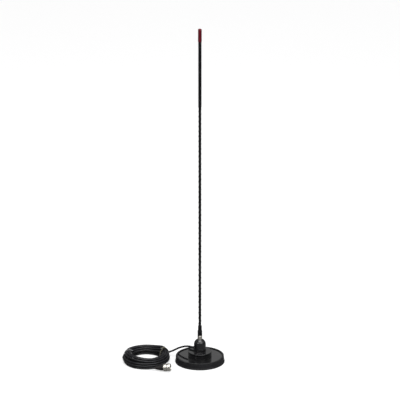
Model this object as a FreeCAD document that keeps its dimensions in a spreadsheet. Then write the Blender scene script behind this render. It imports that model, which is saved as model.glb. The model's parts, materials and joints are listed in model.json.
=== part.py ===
"""Whip antenna on a magnetic mount, with its coaxial cable coiled beside it.

Millimetres, +Z up. The origin is the centre of the base on the surface it stands on, the front is -Y and
the cable lies towards -X. Sizes that can be set by themselves are cells of the spreadsheet Sizes; heights
that follow from them are properties of the variable set Levels; every sketch and primitive is bound to both.
"""

import FreeCAD, Part
import Sketcher
import math
import os

from FreeCAD import Placement, Rotation, Vector

SIZES = {
    # base: rubber boot over a steel cup that holds a ring magnet
    "boot_wall": 3.17,  # at the crown, over the steel cup
    "boot_flare": 0.5,  # how much wider the wall is just above the lip
    "boot_lip": 1.3,
    "boot_lip_height": 3.0,
    "boot_rim": 2.0,  # how far the boot stands above the steel plate
    "boot_overlap": 1.8,  # how far the rim reaches in over the plate
    "boot_web": 1.2,
    "cup_radius": 61.0,
    "cup_thick": 2.0,
    "cup_corner": 1.0,
    "magnet_inset": 0.5,  # inside the pole plate's edge
    "magnet_bore": 23.0,
    "magnet_height": 8.7,
    "pole_gap": 3.0,  # between the pole plate and the cup's wall
    "pole_thick": 3.6,
    "resin_start": 1.0,
    "bolt_radius": 3.0,
    "bolt_head_radius": 5.9,
    "bolt_head_height": 2.9,
    "bolt_engagement": 9.0,
    "bolt_hole_spare": 1.0,  # depth of the tapped hole past the bolt's end
    "sleeve_radius": 7.0,
    # flange and dome
    "gasket_inset": 0.8,
    "gasket_thick": 0.8,
    "flange_radius": 31.4,
    "flange_height": 14.0,
    "flange_wall": 2.6,
    "flange_top": 3.0,
    "flange_edge": 0.8,
    "hub_radius": 12.0,
    "rib_thick": 2.0,
    "rib_count": 6,
    "dome_radius": 16.0,
    "dome_base_lip": 0.2,
    "dome_base_height": 9.1,
    "dome_floor": 2.0,
    "dome_wall": 3.0,
    "register_wall": 2.2,
    "register_height": 3.6,
    "dome_height": 33.7,  # flange top to the flat on the crown
    "crown_ledge": 0.6,  # flat of the crown round the socket's neck
    "seal_radius": 0.7,
    "set_screw_radius": 1.25,
    "set_screw_length": 2.8,
    "set_screw_height": 1.9,  # above the seam
    "set_screw_angle": 15.0,
    "base_screw_inset": 0.5,  # from the screws' heads to the wall of the dome base
    "base_screw_angle": 75.0,
    "base_screw_radius": 1.5,
    "base_screw_length": 9.0,
    "base_screw_head": 2.7,
    "base_screw_head_height": 1.8,
    "washer_thick": 0.6,
    "washer_radius": 2.9,
    # threaded socket in the crown of the dome
    "socket_neck_wall": 1.198,
    "socket_neck": 6.0,
    "socket_radius": 7.6,
    "socket_length": 19.0,
    "socket_stand": 0.3,
    "socket_bore_depth": 14.0,
    "socket_boss_wall": 2.0,
    "feed_screw_radius": 2.0,
    "feed_screw_head": 3.6,
    "feed_screw_head_height": 2.2,
    "feed_screw_grip": 4.0,
    "lug_thick": 0.8,
    "lug_radius": 3.8,
    "feed_lug_tail": 6.5,
    "ground_lug_tail": 6.0,
    "lug_inset": 1.0,  # from a lug's end to the wire soldered on it
    "lug_tail_width": 2.6,
    "core_radius": 0.5,
    "braid_radius": 0.4,
    # whip
    "stud_radius": 4.762,
    "stud_clearance": 0.04,
    "stud_length": 13.0,
    "stud_tip_chamfer": 0.8,
    "lock_washer_thick": 1.0,
    "lock_washer_play": 0.3,
    "lock_washer_split": 0.8,
    "ferrule_radius": 6.35,
    "ferrule_bright": 9.2,
    "ferrule_neck_radius": 5.8,
    "ferrule_neck": 13.5,
    "ferrule_step_wall": 1.525,
    "ferrule_step": 12.5,
    "ferrule_chamfer": 0.5,
    "rod_radius": 3.175,
    "rod_seat": 22.0,  # depth of the rod in the ferrule
    "wire_radius": 0.4,
    "wire_pitch": 14.8,
    "wire_lead": 0.5,  # from a turn's centre to the piece that it is soldered to
    "helix_length": 624.2,
    "loading_length": 198.0,
    "jacket_thick": 0.32,
    "jacket_ease": 1.2,  # height of the cones where the jacket steps in
    "jacket_past_coil": 17.9,
    "cap_bore_gap": 0.05,
    "cap_wall": 0.55,
    "cap_length": 35.0,
    "cap_end": 2.4,
    # cable, gland and coil
    "cable_radius": 2.5,
    "gland_height": 5.3,  # above the flange top
    "gland_stem_wall": 0.8,
    "gland_collar": 1.1,
    "gland_nose_wall": 0.7,
    "gland_reach": 5.0,
    "gland_angle": 145.0,
    "cable_strip": 2.2,  # from the wall of the dome base to the end of the cable's jacket
    "coil_centre_x": -142.6,
    "coil_centre_y": 7.0,
    "coil_inner": 41.2,
    "coil_outer": 63.4,
    "coil_floor": 1.3,
    "coil_top": 24.6,
    "coil_low_corner": 3.0,
    "coil_top_corner": 6.5,
    "tie_width": 4.6,
    "tie_thick": 1.0,
    "tie_gap": 0.15,
    "tie_left_angle": 178.0,
    "tie_right_angle": 20.0,
    "fit_gap": 0.03,  # between faces of pieces that are fastened together
    # coaxial plug; heights run from the rear face of the coupling ring towards the mouth
    "ring_bore": 7.94,
    "ring_wall": 2.06,
    "ring_length": 19.0,
    "ring_back": 1.6,
    "ring_edge": 0.6,
    "plug_gap": 0.06,
    "plug_barrel_radius": 6.2,
    "plug_barrel_rear": 9.0,
    "plug_flange_gap": 0.34,  # round the flange, inside the coupling ring
    "plug_flange": 1.6,
    "plug_sleeve_radius": 6.0,
    "plug_sleeve_bore": 5.2,
    "plug_sleeve_end": 12.0,
    "insulator_seat": 2.0,
    "insulator_end": 6.0,
    "pin_radius": 1.98,
    "pin_end": 14.0,
    "reducer_wall": 1.9,
    "reducer_collar": 0.6,
    "reducer_collar_length": 2.0,
    "reducer_front": 1.0,
    "boot_cone_radius": 7.2,
    "boot_front_radius": 7.7,
    "boot_rear_wall": 0.8,
    "boot_cone_at": 8.0,
    "boot_front_at": 1.0,
    "boot_rear_at": 24.5,
    "plug_x": -96.6,
    "plug_y": -70.0,
    "plug_lift": 0.15,
    "plug_yaw": 11.0,
    "plug_pitch": 8.0,
}

SET_SCREWS = 3
BASE_SCREWS = 3
GROUND_LUG_TURN = 200.0  # degrees, the way the lug's tail points
LOCK_WASHER_TURN = 60.0
LEAD_FIRST_RING = 33.0  # distance from the dome's axis to the cable's first bend
PLUG_STRAIGHT = 9.0  # straight cable behind the plug's boot

doc = FreeCAD.newDocument("MagneticMountWhip")
sheet = doc.addObject("Spreadsheet::Sheet", "Sizes")
levels = doc.addObject("App::VarSet", "Levels")


class Size:
    """A number together with the expression by which the document works it out."""

    def __init__(self, text, value):
        self.text = text
        self.value = value

    def __add__(self, other):
        other = as_size(other)
        return Size(f"({self.text} + {other.text})", self.value + other.value)

    def __sub__(self, other):
        other = as_size(other)
        return Size(f"({self.text} - {other.text})", self.value - other.value)

    def __rsub__(self, other):
        return as_size(other) - self

    def __mul__(self, other):
        other = as_size(other)
        return Size(f"({self.text} * {other.text})", self.value * other.value)

    def __truediv__(self, other):
        other = as_size(other)
        return Size(f"({self.text} / {other.text})", self.value / other.value)

    def __neg__(self):
        return as_size(0) - self

    __radd__ = __add__
    __rmul__ = __mul__


def as_size(number):
    return number if isinstance(number, Size) else Size(f"{number:g}", float(number))


def root(size):
    return Size(f"sqrt({size.text})", math.sqrt(size.value))


def square(size):
    return size * size


class Cells:
    """The spreadsheet's cells, read as attributes: s.cup_radius and so on."""


def fill_sheet():
    cells = Cells()
    for row, (alias, number) in enumerate(SIZES.items(), start=1):
        sheet.set(f"A{row}", alias.replace("_", " "))
        sheet.set(f"B{row}", f"{number:g}")
        sheet.setAlias(f"B{row}", alias)
        setattr(cells, alias, Size(f"Sizes.{alias}", float(number)))
    return cells


def level(name, size):
    """Keeps a derived size as a property of Levels, bound to the cells it follows from."""
    levels.addProperty("App::PropertyFloat", name, "Levels")
    levels.setExpression(name, size.text)
    return Size(f"Levels.{name}", size.value)


def bind(thing, prop, size):
    thing.setExpression(prop, as_size(size).text)


# --- sketches and features ---------------------------------------------------------------------------------


def origin_plane(body, role):
    return next(item for item in body.Origin.OriginFeatures if item.Role == role)


def new_body(label, height=None):
    """A body standing on the given height; what is drawn in it is measured from there."""
    body = doc.addObject("PartDesign::Body", label)
    body.Label = label
    if height is not None:
        bind(body, "Placement.Base.z", height)
    return body


def new_sketch(body, name, role="XZ_Plane", height=None):
    sketch = body.newObject("Sketcher::SketchObject", f"{body.Label}_{name}")
    sketch.AttachmentSupport = [(origin_plane(body, role), "")]
    sketch.MapMode = "FlatFace"
    if height is not None:
        bind(sketch, "AttachmentOffset.Base.z", height)
    return sketch


def pin_down(sketch, name, geometry, point, across, up):
    """Ties a point to its two distances from the sketch's axes."""
    for kind, axis, distance in (("DistanceX", -2, across), ("DistanceY", -1, up)):
        if isinstance(distance, Size):
            constraint = Sketcher.Constraint(kind, -1, 1, geometry, point, distance.value)
            number = sketch.addConstraint(constraint)
            title = f"{name}_{kind[-1].lower()}"
            sketch.renameConstraint(number, title)
            bind(sketch, f"Constraints.{title}", distance)
        else:
            sketch.addConstraint(Sketcher.Constraint("PointOnObject", geometry, point, axis))


def sketch_point(corner):
    return Vector(as_size(corner[0]).value, as_size(corner[1]).value, 0)


def add_outline(sketch, corners, title="p"):
    """A closed outline through (across, up) corners. A corner that ends with a centre height starts an arc
    about that point of the vertical axis; every other stretch is straight."""
    first = sketch.GeometryCount
    starts = []
    for index, corner in enumerate(corners):
        here = sketch_point(corner)
        there = sketch_point(corners[(index + 1) % len(corners)])
        if len(corner) == 3:
            centre = Vector(0, as_size(corner[2]).value, 0)
            circle = Part.Circle(centre, Vector(0, 0, 1), (here - centre).Length)
            angles = [math.atan2(spot.y - centre.y, spot.x) for spot in (here, there)]
            sketch.addGeometry(Part.ArcOfCircle(circle, min(angles), max(angles)), False)
            starts.append((1, 2) if angles[0] < angles[1] else (2, 1))
            sketch.addConstraint(Sketcher.Constraint("PointOnObject", first + index, 3, -2))
        else:
            sketch.addGeometry(Part.LineSegment(here, there), False)
            starts.append((1, 2))
    for index, corner in enumerate(corners):
        following = (index + 1) % len(corners)
        end = (first + index, starts[index][1])
        start = (first + following, starts[following][0])
        sketch.addConstraint(Sketcher.Constraint("Coincident", *end, *start))
        pin_down(sketch, f"{title}{index}", first + index, starts[index][0], corner[0], corner[1])


def add_circle(sketch, title, radius, across=0, up=0):
    centre = sketch_point((across, up))
    number = sketch.addGeometry(Part.Circle(centre, Vector(0, 0, 1), radius.value), False)
    constraint = sketch.addConstraint(Sketcher.Constraint("Radius", number, radius.value))
    sketch.renameConstraint(constraint, f"{title}_radius")
    bind(sketch, f"Constraints.{title}_radius", radius)
    if across == 0 and up == 0:
        sketch.addConstraint(Sketcher.Constraint("Coincident", number, 3, -1, 1))
    else:
        pin_down(sketch, title, number, 3, across, up)


def turned(label, corners, height=None):
    """A body of revolution about its own vertical axis."""
    body = new_body(label, height)
    sketch = new_sketch(body, "profile")
    add_outline(sketch, corners)
    turn = body.newObject("PartDesign::Revolution", f"{label}_turn")
    turn.Profile = sketch
    turn.ReferenceAxis = (sketch, ["V_Axis"])
    turn.Angle = 360
    sketch.Visibility = False
    doc.recompute()
    return body


def pad(body, sketch, length, down=False):
    feature = body.newObject("PartDesign::Pad", f"{sketch.Name}_pad")
    feature.Profile = sketch
    bind(feature, "Length", length)
    feature.Reversed = down
    doc.recompute()
    return feature


def pocket(body, sketch, length, up=False):
    """Cuts down from the sketch, or up, and refuses a cut that meets nothing."""
    before = body.Shape.Volume
    feature = body.newObject("PartDesign::Pocket", f"{sketch.Name}_pocket")
    feature.Profile = sketch
    bind(feature, "Length", length)
    feature.Reversed = up
    doc.recompute()
    if not body.Shape.Volume < before:
        raise ValueError(f"{feature.Name} cuts nothing")
    return feature


def repeat(body, feature, count):
    pattern = body.newObject("PartDesign::PolarPattern", f"{feature.Name}_pattern")
    pattern.Originals = [feature]
    pattern.Axis = (feature.Profile[0], ["N_Axis"])
    pattern.Angle = 360
    bind(pattern, "Occurrences", count)
    body.Tip = pattern
    doc.recompute()
    return pattern


def edges_where(shape, wanted):
    return [f"Edge{number}" for number, edge in enumerate(shape.Edges, start=1) if wanted(edge)]


def dress(body, kind, size, wanted):
    """Rounds or bevels the edges that the test picks."""
    base = body.Tip
    names = edges_where(base.Shape, wanted)
    if not names:
        raise ValueError(f"{body.Label}: no edge to dress")
    feature = body.newObject(f"PartDesign::{kind}", f"{base.Name}_{kind.lower()}")
    feature.Base = (base, names)
    bind(feature, "Radius" if kind == "Fillet" else "Size", size)
    doc.recompute()
    return feature


def rim_at(radius, height):
    """Picks the full circles of a radius at a height."""
    near = 1e-4

    def wanted(edge):
        if not isinstance(edge.Curve, Part.Circle) or not edge.isClosed():
            return False
        off = abs(edge.Curve.Radius - radius.value) + abs(edge.Curve.Center.z - height.value)
        return off < near

    return wanted


def tube(label, outer, inner, length, height):
    return turned(label, [(inner, 0), (outer, 0), (outer, length), (inner, length)], height)


def polar(ring, degrees):
    """A sketch point on a ring of the given radius."""
    turn = math.radians(degrees)
    return ring * round(math.cos(turn), 9), ring * round(math.sin(turn), 9)


def plain(label, shape, place=None):
    """A sub-part whose shape is worked out here, because no sketch or primitive makes it."""
    feature = doc.addObject("Part::Feature", label)
    feature.Label = label
    feature.Shape = shape
    if place is not None:
        feature.Placement = place
    return feature


s = fill_sheet()
doc.recompute()

# --- sizes that follow from the others ---------------------------------------------------------------------

boot_crown_radius = level("boot_crown_radius", s.cup_radius + s.fit_gap + s.boot_wall)
boot_wall_radius = level("boot_wall_radius", boot_crown_radius + s.boot_flare)
boot_lip_radius = level("boot_lip_radius", boot_wall_radius + s.boot_lip)
pole_radius = level("pole_radius", s.cup_radius - s.cup_thick - s.pole_gap)
stud_bore = level("stud_bore", s.stud_radius + s.stud_clearance)
socket_neck_radius = level("socket_neck_radius", stud_bore + s.socket_neck_wall)
dome_base_radius = level("dome_base_radius", s.dome_radius + s.dome_base_lip)
ferrule_step_radius = level("ferrule_step_radius", s.rod_radius + s.ferrule_step_wall)
ring_radius = level("ring_radius", s.ring_bore + s.ring_wall)
cup_height = level("cup_height", s.pole_thick + s.magnet_height + s.cup_thick)
plate_top = level("plate_top", s.boot_web + cup_height)
boot_top = level("boot_top", plate_top + s.boot_rim)
magnet_foot = level("magnet_foot", s.boot_web + s.pole_thick)
flange_foot = level("flange_foot", plate_top + s.gasket_thick)
flange_crown = level("flange_crown", flange_foot + s.flange_height)
seam = level("seam", flange_crown + s.dome_base_height)
crown_radius = level("crown_radius", socket_neck_radius + s.crown_ledge)
dome_spring = level("dome_spring", s.dome_height - root(square(s.dome_radius) - square(crown_radius)))
dome_top = level("dome_top", flange_crown + s.dome_height)
socket_top = level("socket_top", dome_top + s.socket_stand)
ferrule_foot = level("ferrule_foot", socket_top + s.lock_washer_thick)
neck_foot = level("neck_foot", ferrule_foot + s.ferrule_bright)
neck_top = level("neck_top", neck_foot + s.ferrule_neck + s.ferrule_step)
helix_foot = level("helix_foot", neck_top + s.wire_lead)
loading_foot = level("loading_foot", helix_foot + s.helix_length + s.wire_lead)
loading_top = level("loading_top", loading_foot + s.loading_length)
jacket_top = level("jacket_top", loading_top + s.jacket_past_coil)
wire_ring = level("wire_ring", s.rod_radius + s.fit_gap + s.wire_radius)
winding_radius = level("winding_radius", wire_ring + s.wire_radius)
jacket_bore = level("jacket_bore", winding_radius + s.fit_gap)
jacket_radius = level("jacket_radius", jacket_bore + s.jacket_thick)
cap_bore = level("cap_bore", jacket_radius + s.cap_bore_gap)
cap_radius = level("cap_radius", cap_bore + s.cap_wall)
cap_foot = level("cap_foot", jacket_top + s.fit_gap + s.cap_end - s.cap_length)
gland_z = level("gland_z", flange_crown + s.gland_height)
register_radius = level("register_radius", s.dome_radius - s.dome_wall)
register_bore = level("register_bore", register_radius - s.register_wall)
base_screw_ring = level("base_screw_ring", register_bore - s.base_screw_inset - s.base_screw_head)
cable_end_ring = level("cable_end_ring", register_bore - s.cable_strip)
socket_foot = level("socket_foot", socket_top - s.socket_length)
bolt_hole = level("bolt_hole", s.bolt_radius + s.fit_gap)

gland_bearing = math.radians(s.gland_angle.value)
gland_turn = Rotation(Vector(0, 0, 1), Vector(math.cos(gland_bearing), math.sin(gland_bearing), 0))

plug_yaw = math.radians(s.plug_yaw.value)
plug_pitch = math.radians(s.plug_pitch.value)
plug_axis = Vector(
    math.cos(plug_pitch) * math.cos(plug_yaw),
    -math.cos(plug_pitch) * math.sin(plug_yaw),
    math.sin(plug_pitch),
)
plug_height = ring_radius.value * math.cos(plug_pitch) + s.plug_lift.value
plug_origin = Vector(s.plug_x.value, s.plug_y.value, plug_height)


# --- base --------------------------------------------------------------------------------------------------


def make_rubber_boot():
    inside = s.cup_radius + s.fit_gap
    mouth = s.cup_radius - s.boot_overlap
    over_plate = plate_top + s.fit_gap
    rim = boot_top - over_plate
    body = turned(
        "rubber_boot",
        [
            (0, 0),
            (boot_lip_radius, 0),
            (boot_lip_radius, s.boot_lip_height),
            (boot_wall_radius, s.boot_lip_height + (boot_lip_radius - boot_wall_radius)),
            (boot_crown_radius, boot_top),
            (mouth, boot_top),
            (mouth, over_plate),
            (inside, over_plate),
            (inside, s.boot_web),
            (0, s.boot_web),
        ],
    )
    dress(body, "Fillet", rim * 0.9, rim_at(boot_crown_radius, boot_top))
    dress(body, "Fillet", rim * 0.45, rim_at(mouth, boot_top))
    dress(body, "Fillet", s.boot_lip_height * 0.3, rim_at(boot_lip_radius, as_size(0)))


def make_steel_cup():
    inside = s.cup_radius - s.cup_thick
    body = turned(
        "steel_cup",
        [
            (inside, 0),
            (s.cup_radius, 0),
            (s.cup_radius, cup_height),
            (bolt_hole, cup_height),
            (bolt_hole, cup_height - s.cup_thick),
            (inside, cup_height - s.cup_thick),
        ],
        s.boot_web,
    )
    dress(body, "Fillet", s.cup_corner, rim_at(s.cup_radius, cup_height))


def make_magnet_stack():
    tube("ring_magnet", pole_radius - s.magnet_inset, s.magnet_bore, s.magnet_height, magnet_foot)
    tube("spacer_sleeve", s.sleeve_radius, bolt_hole, s.magnet_height, magnet_foot)
    turned(
        "pole_plate",
        [
            (s.bolt_head_radius + s.fit_gap, 0),
            (pole_radius, 0),
            (pole_radius, s.pole_thick),
            (bolt_hole, s.pole_thick),
            (bolt_hole, s.bolt_head_height + s.fit_gap),
        ],
        s.boot_web,
    )
    tube(
        "resin_ring",
        s.cup_radius - s.cup_thick - s.fit_gap,
        pole_radius + s.fit_gap,
        cup_height - s.cup_thick - s.resin_start,
        s.boot_web + s.resin_start,
    )


def make_mount_bolt():
    length = cup_height + s.gasket_thick + s.bolt_engagement
    body = turned(
        "mount_bolt",
        [
            (0, 0),
            (s.bolt_head_radius, 0),
            (s.bolt_radius, s.bolt_head_height),
            (s.bolt_radius, length),
            (0, length),
        ],
        s.boot_web,
    )
    dress(body, "Chamfer", s.bolt_radius * 0.25, rim_at(s.bolt_radius, length))
    drive = new_sketch(body, "drive", "XY_Plane")
    add_outline(drive, [polar(s.bolt_radius * 0.6, 60 * side) for side in range(6)])
    pocket(body, drive, s.bolt_head_height * 0.6, up=True)


def make_flange():
    tube("flange_gasket", s.flange_radius - s.gasket_inset, bolt_hole, s.gasket_thick, plate_top)
    under_top = s.flange_height - s.flange_top
    hole_depth = s.bolt_engagement + s.bolt_hole_spare
    inside = s.flange_radius - s.flange_wall
    body = turned(
        "mount_flange",
        [
            (bolt_hole, 0),
            (s.hub_radius, 0),
            (s.hub_radius, under_top),
            (inside, under_top),
            (inside, 0),
            (s.flange_radius, 0),
            (s.flange_radius, s.flange_height),
            (0, s.flange_height),
            (0, hole_depth),
            (bolt_hole, hole_depth),
        ],
        flange_foot,
    )
    rib = new_sketch(body, "rib", "XY_Plane")
    half = s.rib_thick / 2
    start = s.hub_radius * 0.9
    finish = inside + s.flange_wall * 0.5
    add_outline(rib, [(start, -half), (finish, -half), (finish, half), (start, half)])
    repeat(body, pad(body, rib, under_top + s.flange_top * 0.5), s.rib_count)
    drill_base_screws(body, s.flange_height, s.base_screw_length)
    dress(body, "Fillet", s.flange_edge, rim_at(s.flange_radius, s.flange_height))


def drill_base_screws(body, height, depth):
    hole = new_sketch(body, "screw_hole", "XY_Plane", height)
    across, up = polar(base_screw_ring, s.base_screw_angle.value)
    add_circle(hole, "hole", s.base_screw_radius + s.fit_gap, across, up)
    repeat(body, pocket(body, hole, depth), as_size(BASE_SCREWS))


# --- dome --------------------------------------------------------------------------------------------------


def make_dome_base():
    shelf = s.dome_base_height
    fit = register_radius - s.fit_gap
    groove = fit - s.seal_radius
    groove_foot = shelf + s.register_height - s.seal_radius * 1.5
    groove_top = groove_foot + s.seal_radius * 1.2
    blank = turned(
        "dome_base_blank",
        [
            (0, 0),
            (dome_base_radius, 0),
            (dome_base_radius, shelf),
            (fit, shelf),
            (fit, groove_foot),
            (groove, groove_foot),
            (groove, groove_top),
            (fit, groove_top),
            (fit, shelf + s.register_height),
            (register_bore, shelf + s.register_height),
            (register_bore, s.dome_floor),
            (0, s.dome_floor),
        ],
        flange_crown,
    )
    drill_base_screws(blank, s.dome_floor, s.dome_floor)
    drill = doc.addObject("Part::Cylinder", "gland_drill")
    bind(drill, "Radius", s.cable_radius + s.gland_stem_wall + s.fit_gap)
    bind(drill, "Height", dome_base_radius * 2)
    drill.Placement = Placement(Vector(0, 0, 0), gland_turn)
    bind(drill, "Placement.Base.z", gland_z)
    cut_from("dome_base", blank, drill)
    tube(
        "dome_seal",
        fit + s.fit_gap / 3,
        groove + s.fit_gap,
        s.seal_radius * 1.2 - s.fit_gap * 2,
        flange_crown + groove_foot + s.fit_gap,
    )


def cut_from(label, base, tool):
    cut = doc.addObject("Part::Cut", label)
    cut.Base = base
    cut.Tool = tool
    cut.Label = label
    doc.recompute()
    if not cut.Shape.Volume < base.Shape.Volume:
        raise ValueError(f"{label}: the cut meets nothing")
    return cut


def radial_cylinder(name, radius, length, start, height, degrees):
    """A cylinder that lies along a radius of the dome."""
    piece = doc.addObject("Part::Cylinder", name)
    bind(piece, "Radius", radius)
    bind(piece, "Height", length)
    turn = math.radians(degrees)
    outward = Vector(math.cos(turn), math.sin(turn), 0)
    piece.Placement = Placement(Vector(0, 0, 0), Rotation(Vector(0, 0, 1), outward))
    across, up = polar(start, degrees)
    bind(piece, "Placement.Base.x", across)
    bind(piece, "Placement.Base.y", up)
    bind(piece, "Placement.Base.z", height)
    return piece


def together(label, pieces):
    group = doc.addObject("Part::Compound", label)
    group.Links = pieces
    group.Label = label
    doc.recompute()
    return group


def make_dome_cap():
    height = s.dome_height - s.dome_base_height
    spring = dome_spring - s.dome_base_height
    neck = socket_neck_radius + s.fit_gap
    bore = s.socket_radius + s.fit_gap
    boss = s.socket_radius + s.socket_boss_wall
    shoulder = height + s.socket_stand - s.socket_neck + s.fit_gap
    boss_foot = shoulder - (s.socket_length - s.socket_neck) * 0.8
    inner_meet = spring + root(square(register_radius) - square(boss))
    blank = turned(
        "dome_cap_blank",
        [
            (s.dome_radius, 0),
            (s.dome_radius, spring, spring),
            (crown_radius, height),
            (neck, height),
            (neck, shoulder),
            (bore, shoulder),
            (bore, boss_foot),
            (boss, boss_foot),
            (boss, inner_meet, spring),
            (register_radius, spring),
            (register_radius, 0),
        ],
        seam,
    )
    level_of_screws = seam + s.set_screw_height
    holes = []
    screws = []
    for number in range(SET_SCREWS):
        degrees = s.set_screw_angle.value + 360 * number / SET_SCREWS
        drill = (s.set_screw_radius + s.fit_gap, s.dome_wall * 2, register_radius - s.fit_gap)
        screw = (s.set_screw_radius, s.set_screw_length, register_radius)
        holes.append(radial_cylinder(f"set_screw_drill_{number}", *drill, level_of_screws, degrees))
        screws.append(radial_cylinder(f"set_screw_{number}", *screw, level_of_screws, degrees))
    cut_from("dome_cap", blank, together("set_screw_drills", holes))
    together("cap_set_screws", screws)


def upright_cylinder(name, radius, length, across, up, height):
    piece = doc.addObject("Part::Cylinder", name)
    bind(piece, "Radius", radius)
    bind(piece, "Height", length)
    bind(piece, "Placement.Base.x", across)
    bind(piece, "Placement.Base.y", up)
    bind(piece, "Placement.Base.z", height)
    return piece


def make_base_screws():
    """Pan-head screws; the lug of the cable's braid is under the first, plain washers under the others."""
    under_head = flange_crown + s.dome_floor + s.washer_thick
    reach = s.base_screw_length - s.fit_gap * 5
    screws = []
    washers = []
    for number in range(BASE_SCREWS):
        across, up = polar(base_screw_ring, s.base_screw_angle.value + 360 * number / BASE_SCREWS)
        spot = (across, up)
        shank = (s.base_screw_radius, reach, *spot, under_head - reach)
        head = (s.base_screw_head, s.base_screw_head_height, *spot, under_head)
        screw = doc.addObject("Part::Fuse", f"base_screw_{number}")
        screw.Base = upright_cylinder(f"base_screw_shank_{number}", *shank)
        screw.Tool = upright_cylinder(f"base_screw_head_{number}", *head)
        screws.append(screw)
        if number:
            foot = under_head - s.washer_thick
            place = (s.washer_thick, *spot, foot)
            disc = upright_cylinder(f"washer_disc_{number}", s.washer_radius, *place)
            bore = upright_cylinder(f"washer_bore_{number}", s.base_screw_radius + s.fit_gap, *place)
            washers.append(cut_from(f"washer_{number}", disc, bore))
    together("base_screws", screws)
    together("screw_washers", washers)


def lug(label, hole, ring, tail, thick, degrees, height, across=0, up=0):
    """A ring terminal: an eye with a flat tail that points away at an angle."""
    body = new_body(label, height)
    eye = new_sketch(body, "eye", "XY_Plane")
    add_circle(eye, "eye", ring)
    pad(body, eye, thick)
    strip = new_sketch(body, "tail", "XY_Plane")
    half = s.lug_tail_width / 2
    add_outline(strip, [(0, -half), (tail, -half), (tail, half), (0, half)])
    pad(body, strip, thick)
    bore = new_sketch(body, "bore", "XY_Plane", thick)
    add_circle(bore, "bore", hole)
    pocket(body, bore, thick)
    body.Placement = Placement(body.Placement.Base, Rotation(Vector(0, 0, 1), degrees))
    bind(body, "Placement.Base.x", across)
    bind(body, "Placement.Base.y", up)
    doc.recompute()


def make_terminals():
    across, up = polar(base_screw_ring, s.base_screw_angle.value)
    ground_foot = flange_crown + s.dome_floor
    hole = s.base_screw_radius + s.fit_gap
    eye = (hole, s.washer_radius)
    lug("ground_lug", *eye, s.ground_lug_tail, s.washer_thick, GROUND_LUG_TURN, ground_foot, across, up)
    eye = (s.feed_screw_radius + s.fit_gap, s.lug_radius)
    feed_foot = socket_foot - s.lug_thick
    lug("feed_lug", *eye, s.feed_lug_tail, s.lug_thick, s.gland_angle.value, feed_foot)
    shank_top = s.feed_screw_head_height + s.lug_thick + s.feed_screw_grip - s.fit_gap
    body = turned(
        "feed_screw",
        [
            (0, 0),
            (s.feed_screw_head, 0),
            (s.feed_screw_head, s.feed_screw_head_height),
            (s.feed_screw_radius, s.feed_screw_head_height),
            (s.feed_screw_radius, shank_top),
            (0, shank_top),
        ],
        feed_foot - s.feed_screw_head_height,
    )
    dress(body, "Fillet", s.feed_screw_head_height * 0.4, rim_at(s.feed_screw_head, as_size(0)))


def make_socket():
    bore_foot = s.socket_length - s.socket_bore_depth
    feed_hole = s.feed_screw_radius + s.fit_gap
    turned(
        "antenna_socket",
        [
            (feed_hole, 0),
            (s.socket_radius, 0),
            (s.socket_radius, s.socket_length - s.socket_neck),
            (socket_neck_radius, s.socket_length - s.socket_neck),
            (socket_neck_radius, s.socket_length),
            (stud_bore, s.socket_length),
            (stud_bore, bore_foot),
            (0, bore_foot),
            (0, s.feed_screw_grip),
            (feed_hole, s.feed_screw_grip),
        ],
        socket_foot,
    )


# --- whip --------------------------------------------------------------------------------------------------


def make_lock_washer():
    bore = s.stud_radius + s.lock_washer_play
    body = tube("lock_washer", s.ferrule_radius, bore, s.lock_washer_thick, socket_top)
    split = new_sketch(body, "split", "XY_Plane", s.lock_washer_thick)
    half = s.lock_washer_split / 2
    inner = bore * 0.8
    outer = s.ferrule_radius * 1.1
    add_outline(split, [(inner, -half), (outer, -half), (outer, half), (inner, half)])
    pocket(body, split, s.lock_washer_thick)
    body.Placement = Placement(body.Placement.Base, Rotation(Vector(0, 0, 1), LOCK_WASHER_TURN))


def make_ferrule():
    neck = s.stud_length + s.ferrule_bright
    step = neck + s.ferrule_neck
    top = step + s.ferrule_step
    seat = s.rod_radius + s.fit_gap
    body = turned(
        "ferrule",
        [
            (0, 0),
            (s.stud_radius, 0),
            (s.stud_radius, s.stud_length),
            (s.ferrule_radius, s.stud_length),
            (s.ferrule_radius, neck),
            (s.ferrule_neck_radius, neck),
            (s.ferrule_neck_radius, step),
            (ferrule_step_radius, step),
            (ferrule_step_radius, top),
            (seat, top),
            (seat, top - s.rod_seat),
            (0, top - s.rod_seat),
        ],
        ferrule_foot - s.stud_length,
    )
    dress(body, "Chamfer", s.stud_tip_chamfer, rim_at(s.stud_radius, as_size(0)))
    dress(body, "Chamfer", s.ferrule_chamfer, rim_at(s.ferrule_radius, s.stud_length))


def make_radiator():
    """A rod with one open helix of wire up to a close-wound loading coil; the helix is left-handed."""
    rod_foot = neck_top - s.rod_seat + s.fit_gap
    rod_top = jacket_top - s.fit_gap
    length = rod_top - rod_foot
    turned("fibreglass_rod", [(0, 0), (s.rod_radius, 0), (s.rod_radius, length), (0, length)], rod_foot)
    tube("loading_coil", winding_radius, s.rod_radius + s.fit_gap, s.loading_length, loading_foot)
    helix = doc.addObject("Part::Helix", "wire_path")
    bind(helix, "Pitch", s.wire_pitch)
    bind(helix, "Height", s.helix_length)
    bind(helix, "Radius", wire_ring)
    helix.LocalCoord = 1
    section = doc.addObject("Part::Circle", "wire_section")
    bind(section, "Radius", s.wire_radius)
    advance = Vector(0, -2 * math.pi * wire_ring.value, s.wire_pitch.value)
    section.Placement = Placement(Vector(0, 0, 0), Rotation(Vector(0, 0, 1), advance))
    bind(section, "Placement.Base.x", wire_ring)
    wire = doc.addObject("Part::Sweep", "radiator_wire")
    wire.Sections = [section]
    wire.Spine = (helix, [])
    wire.Solid = True
    wire.Frenet = True
    wire.Label = "radiator_wire"
    bind(wire, "Placement.Base.z", helix_foot)


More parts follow.
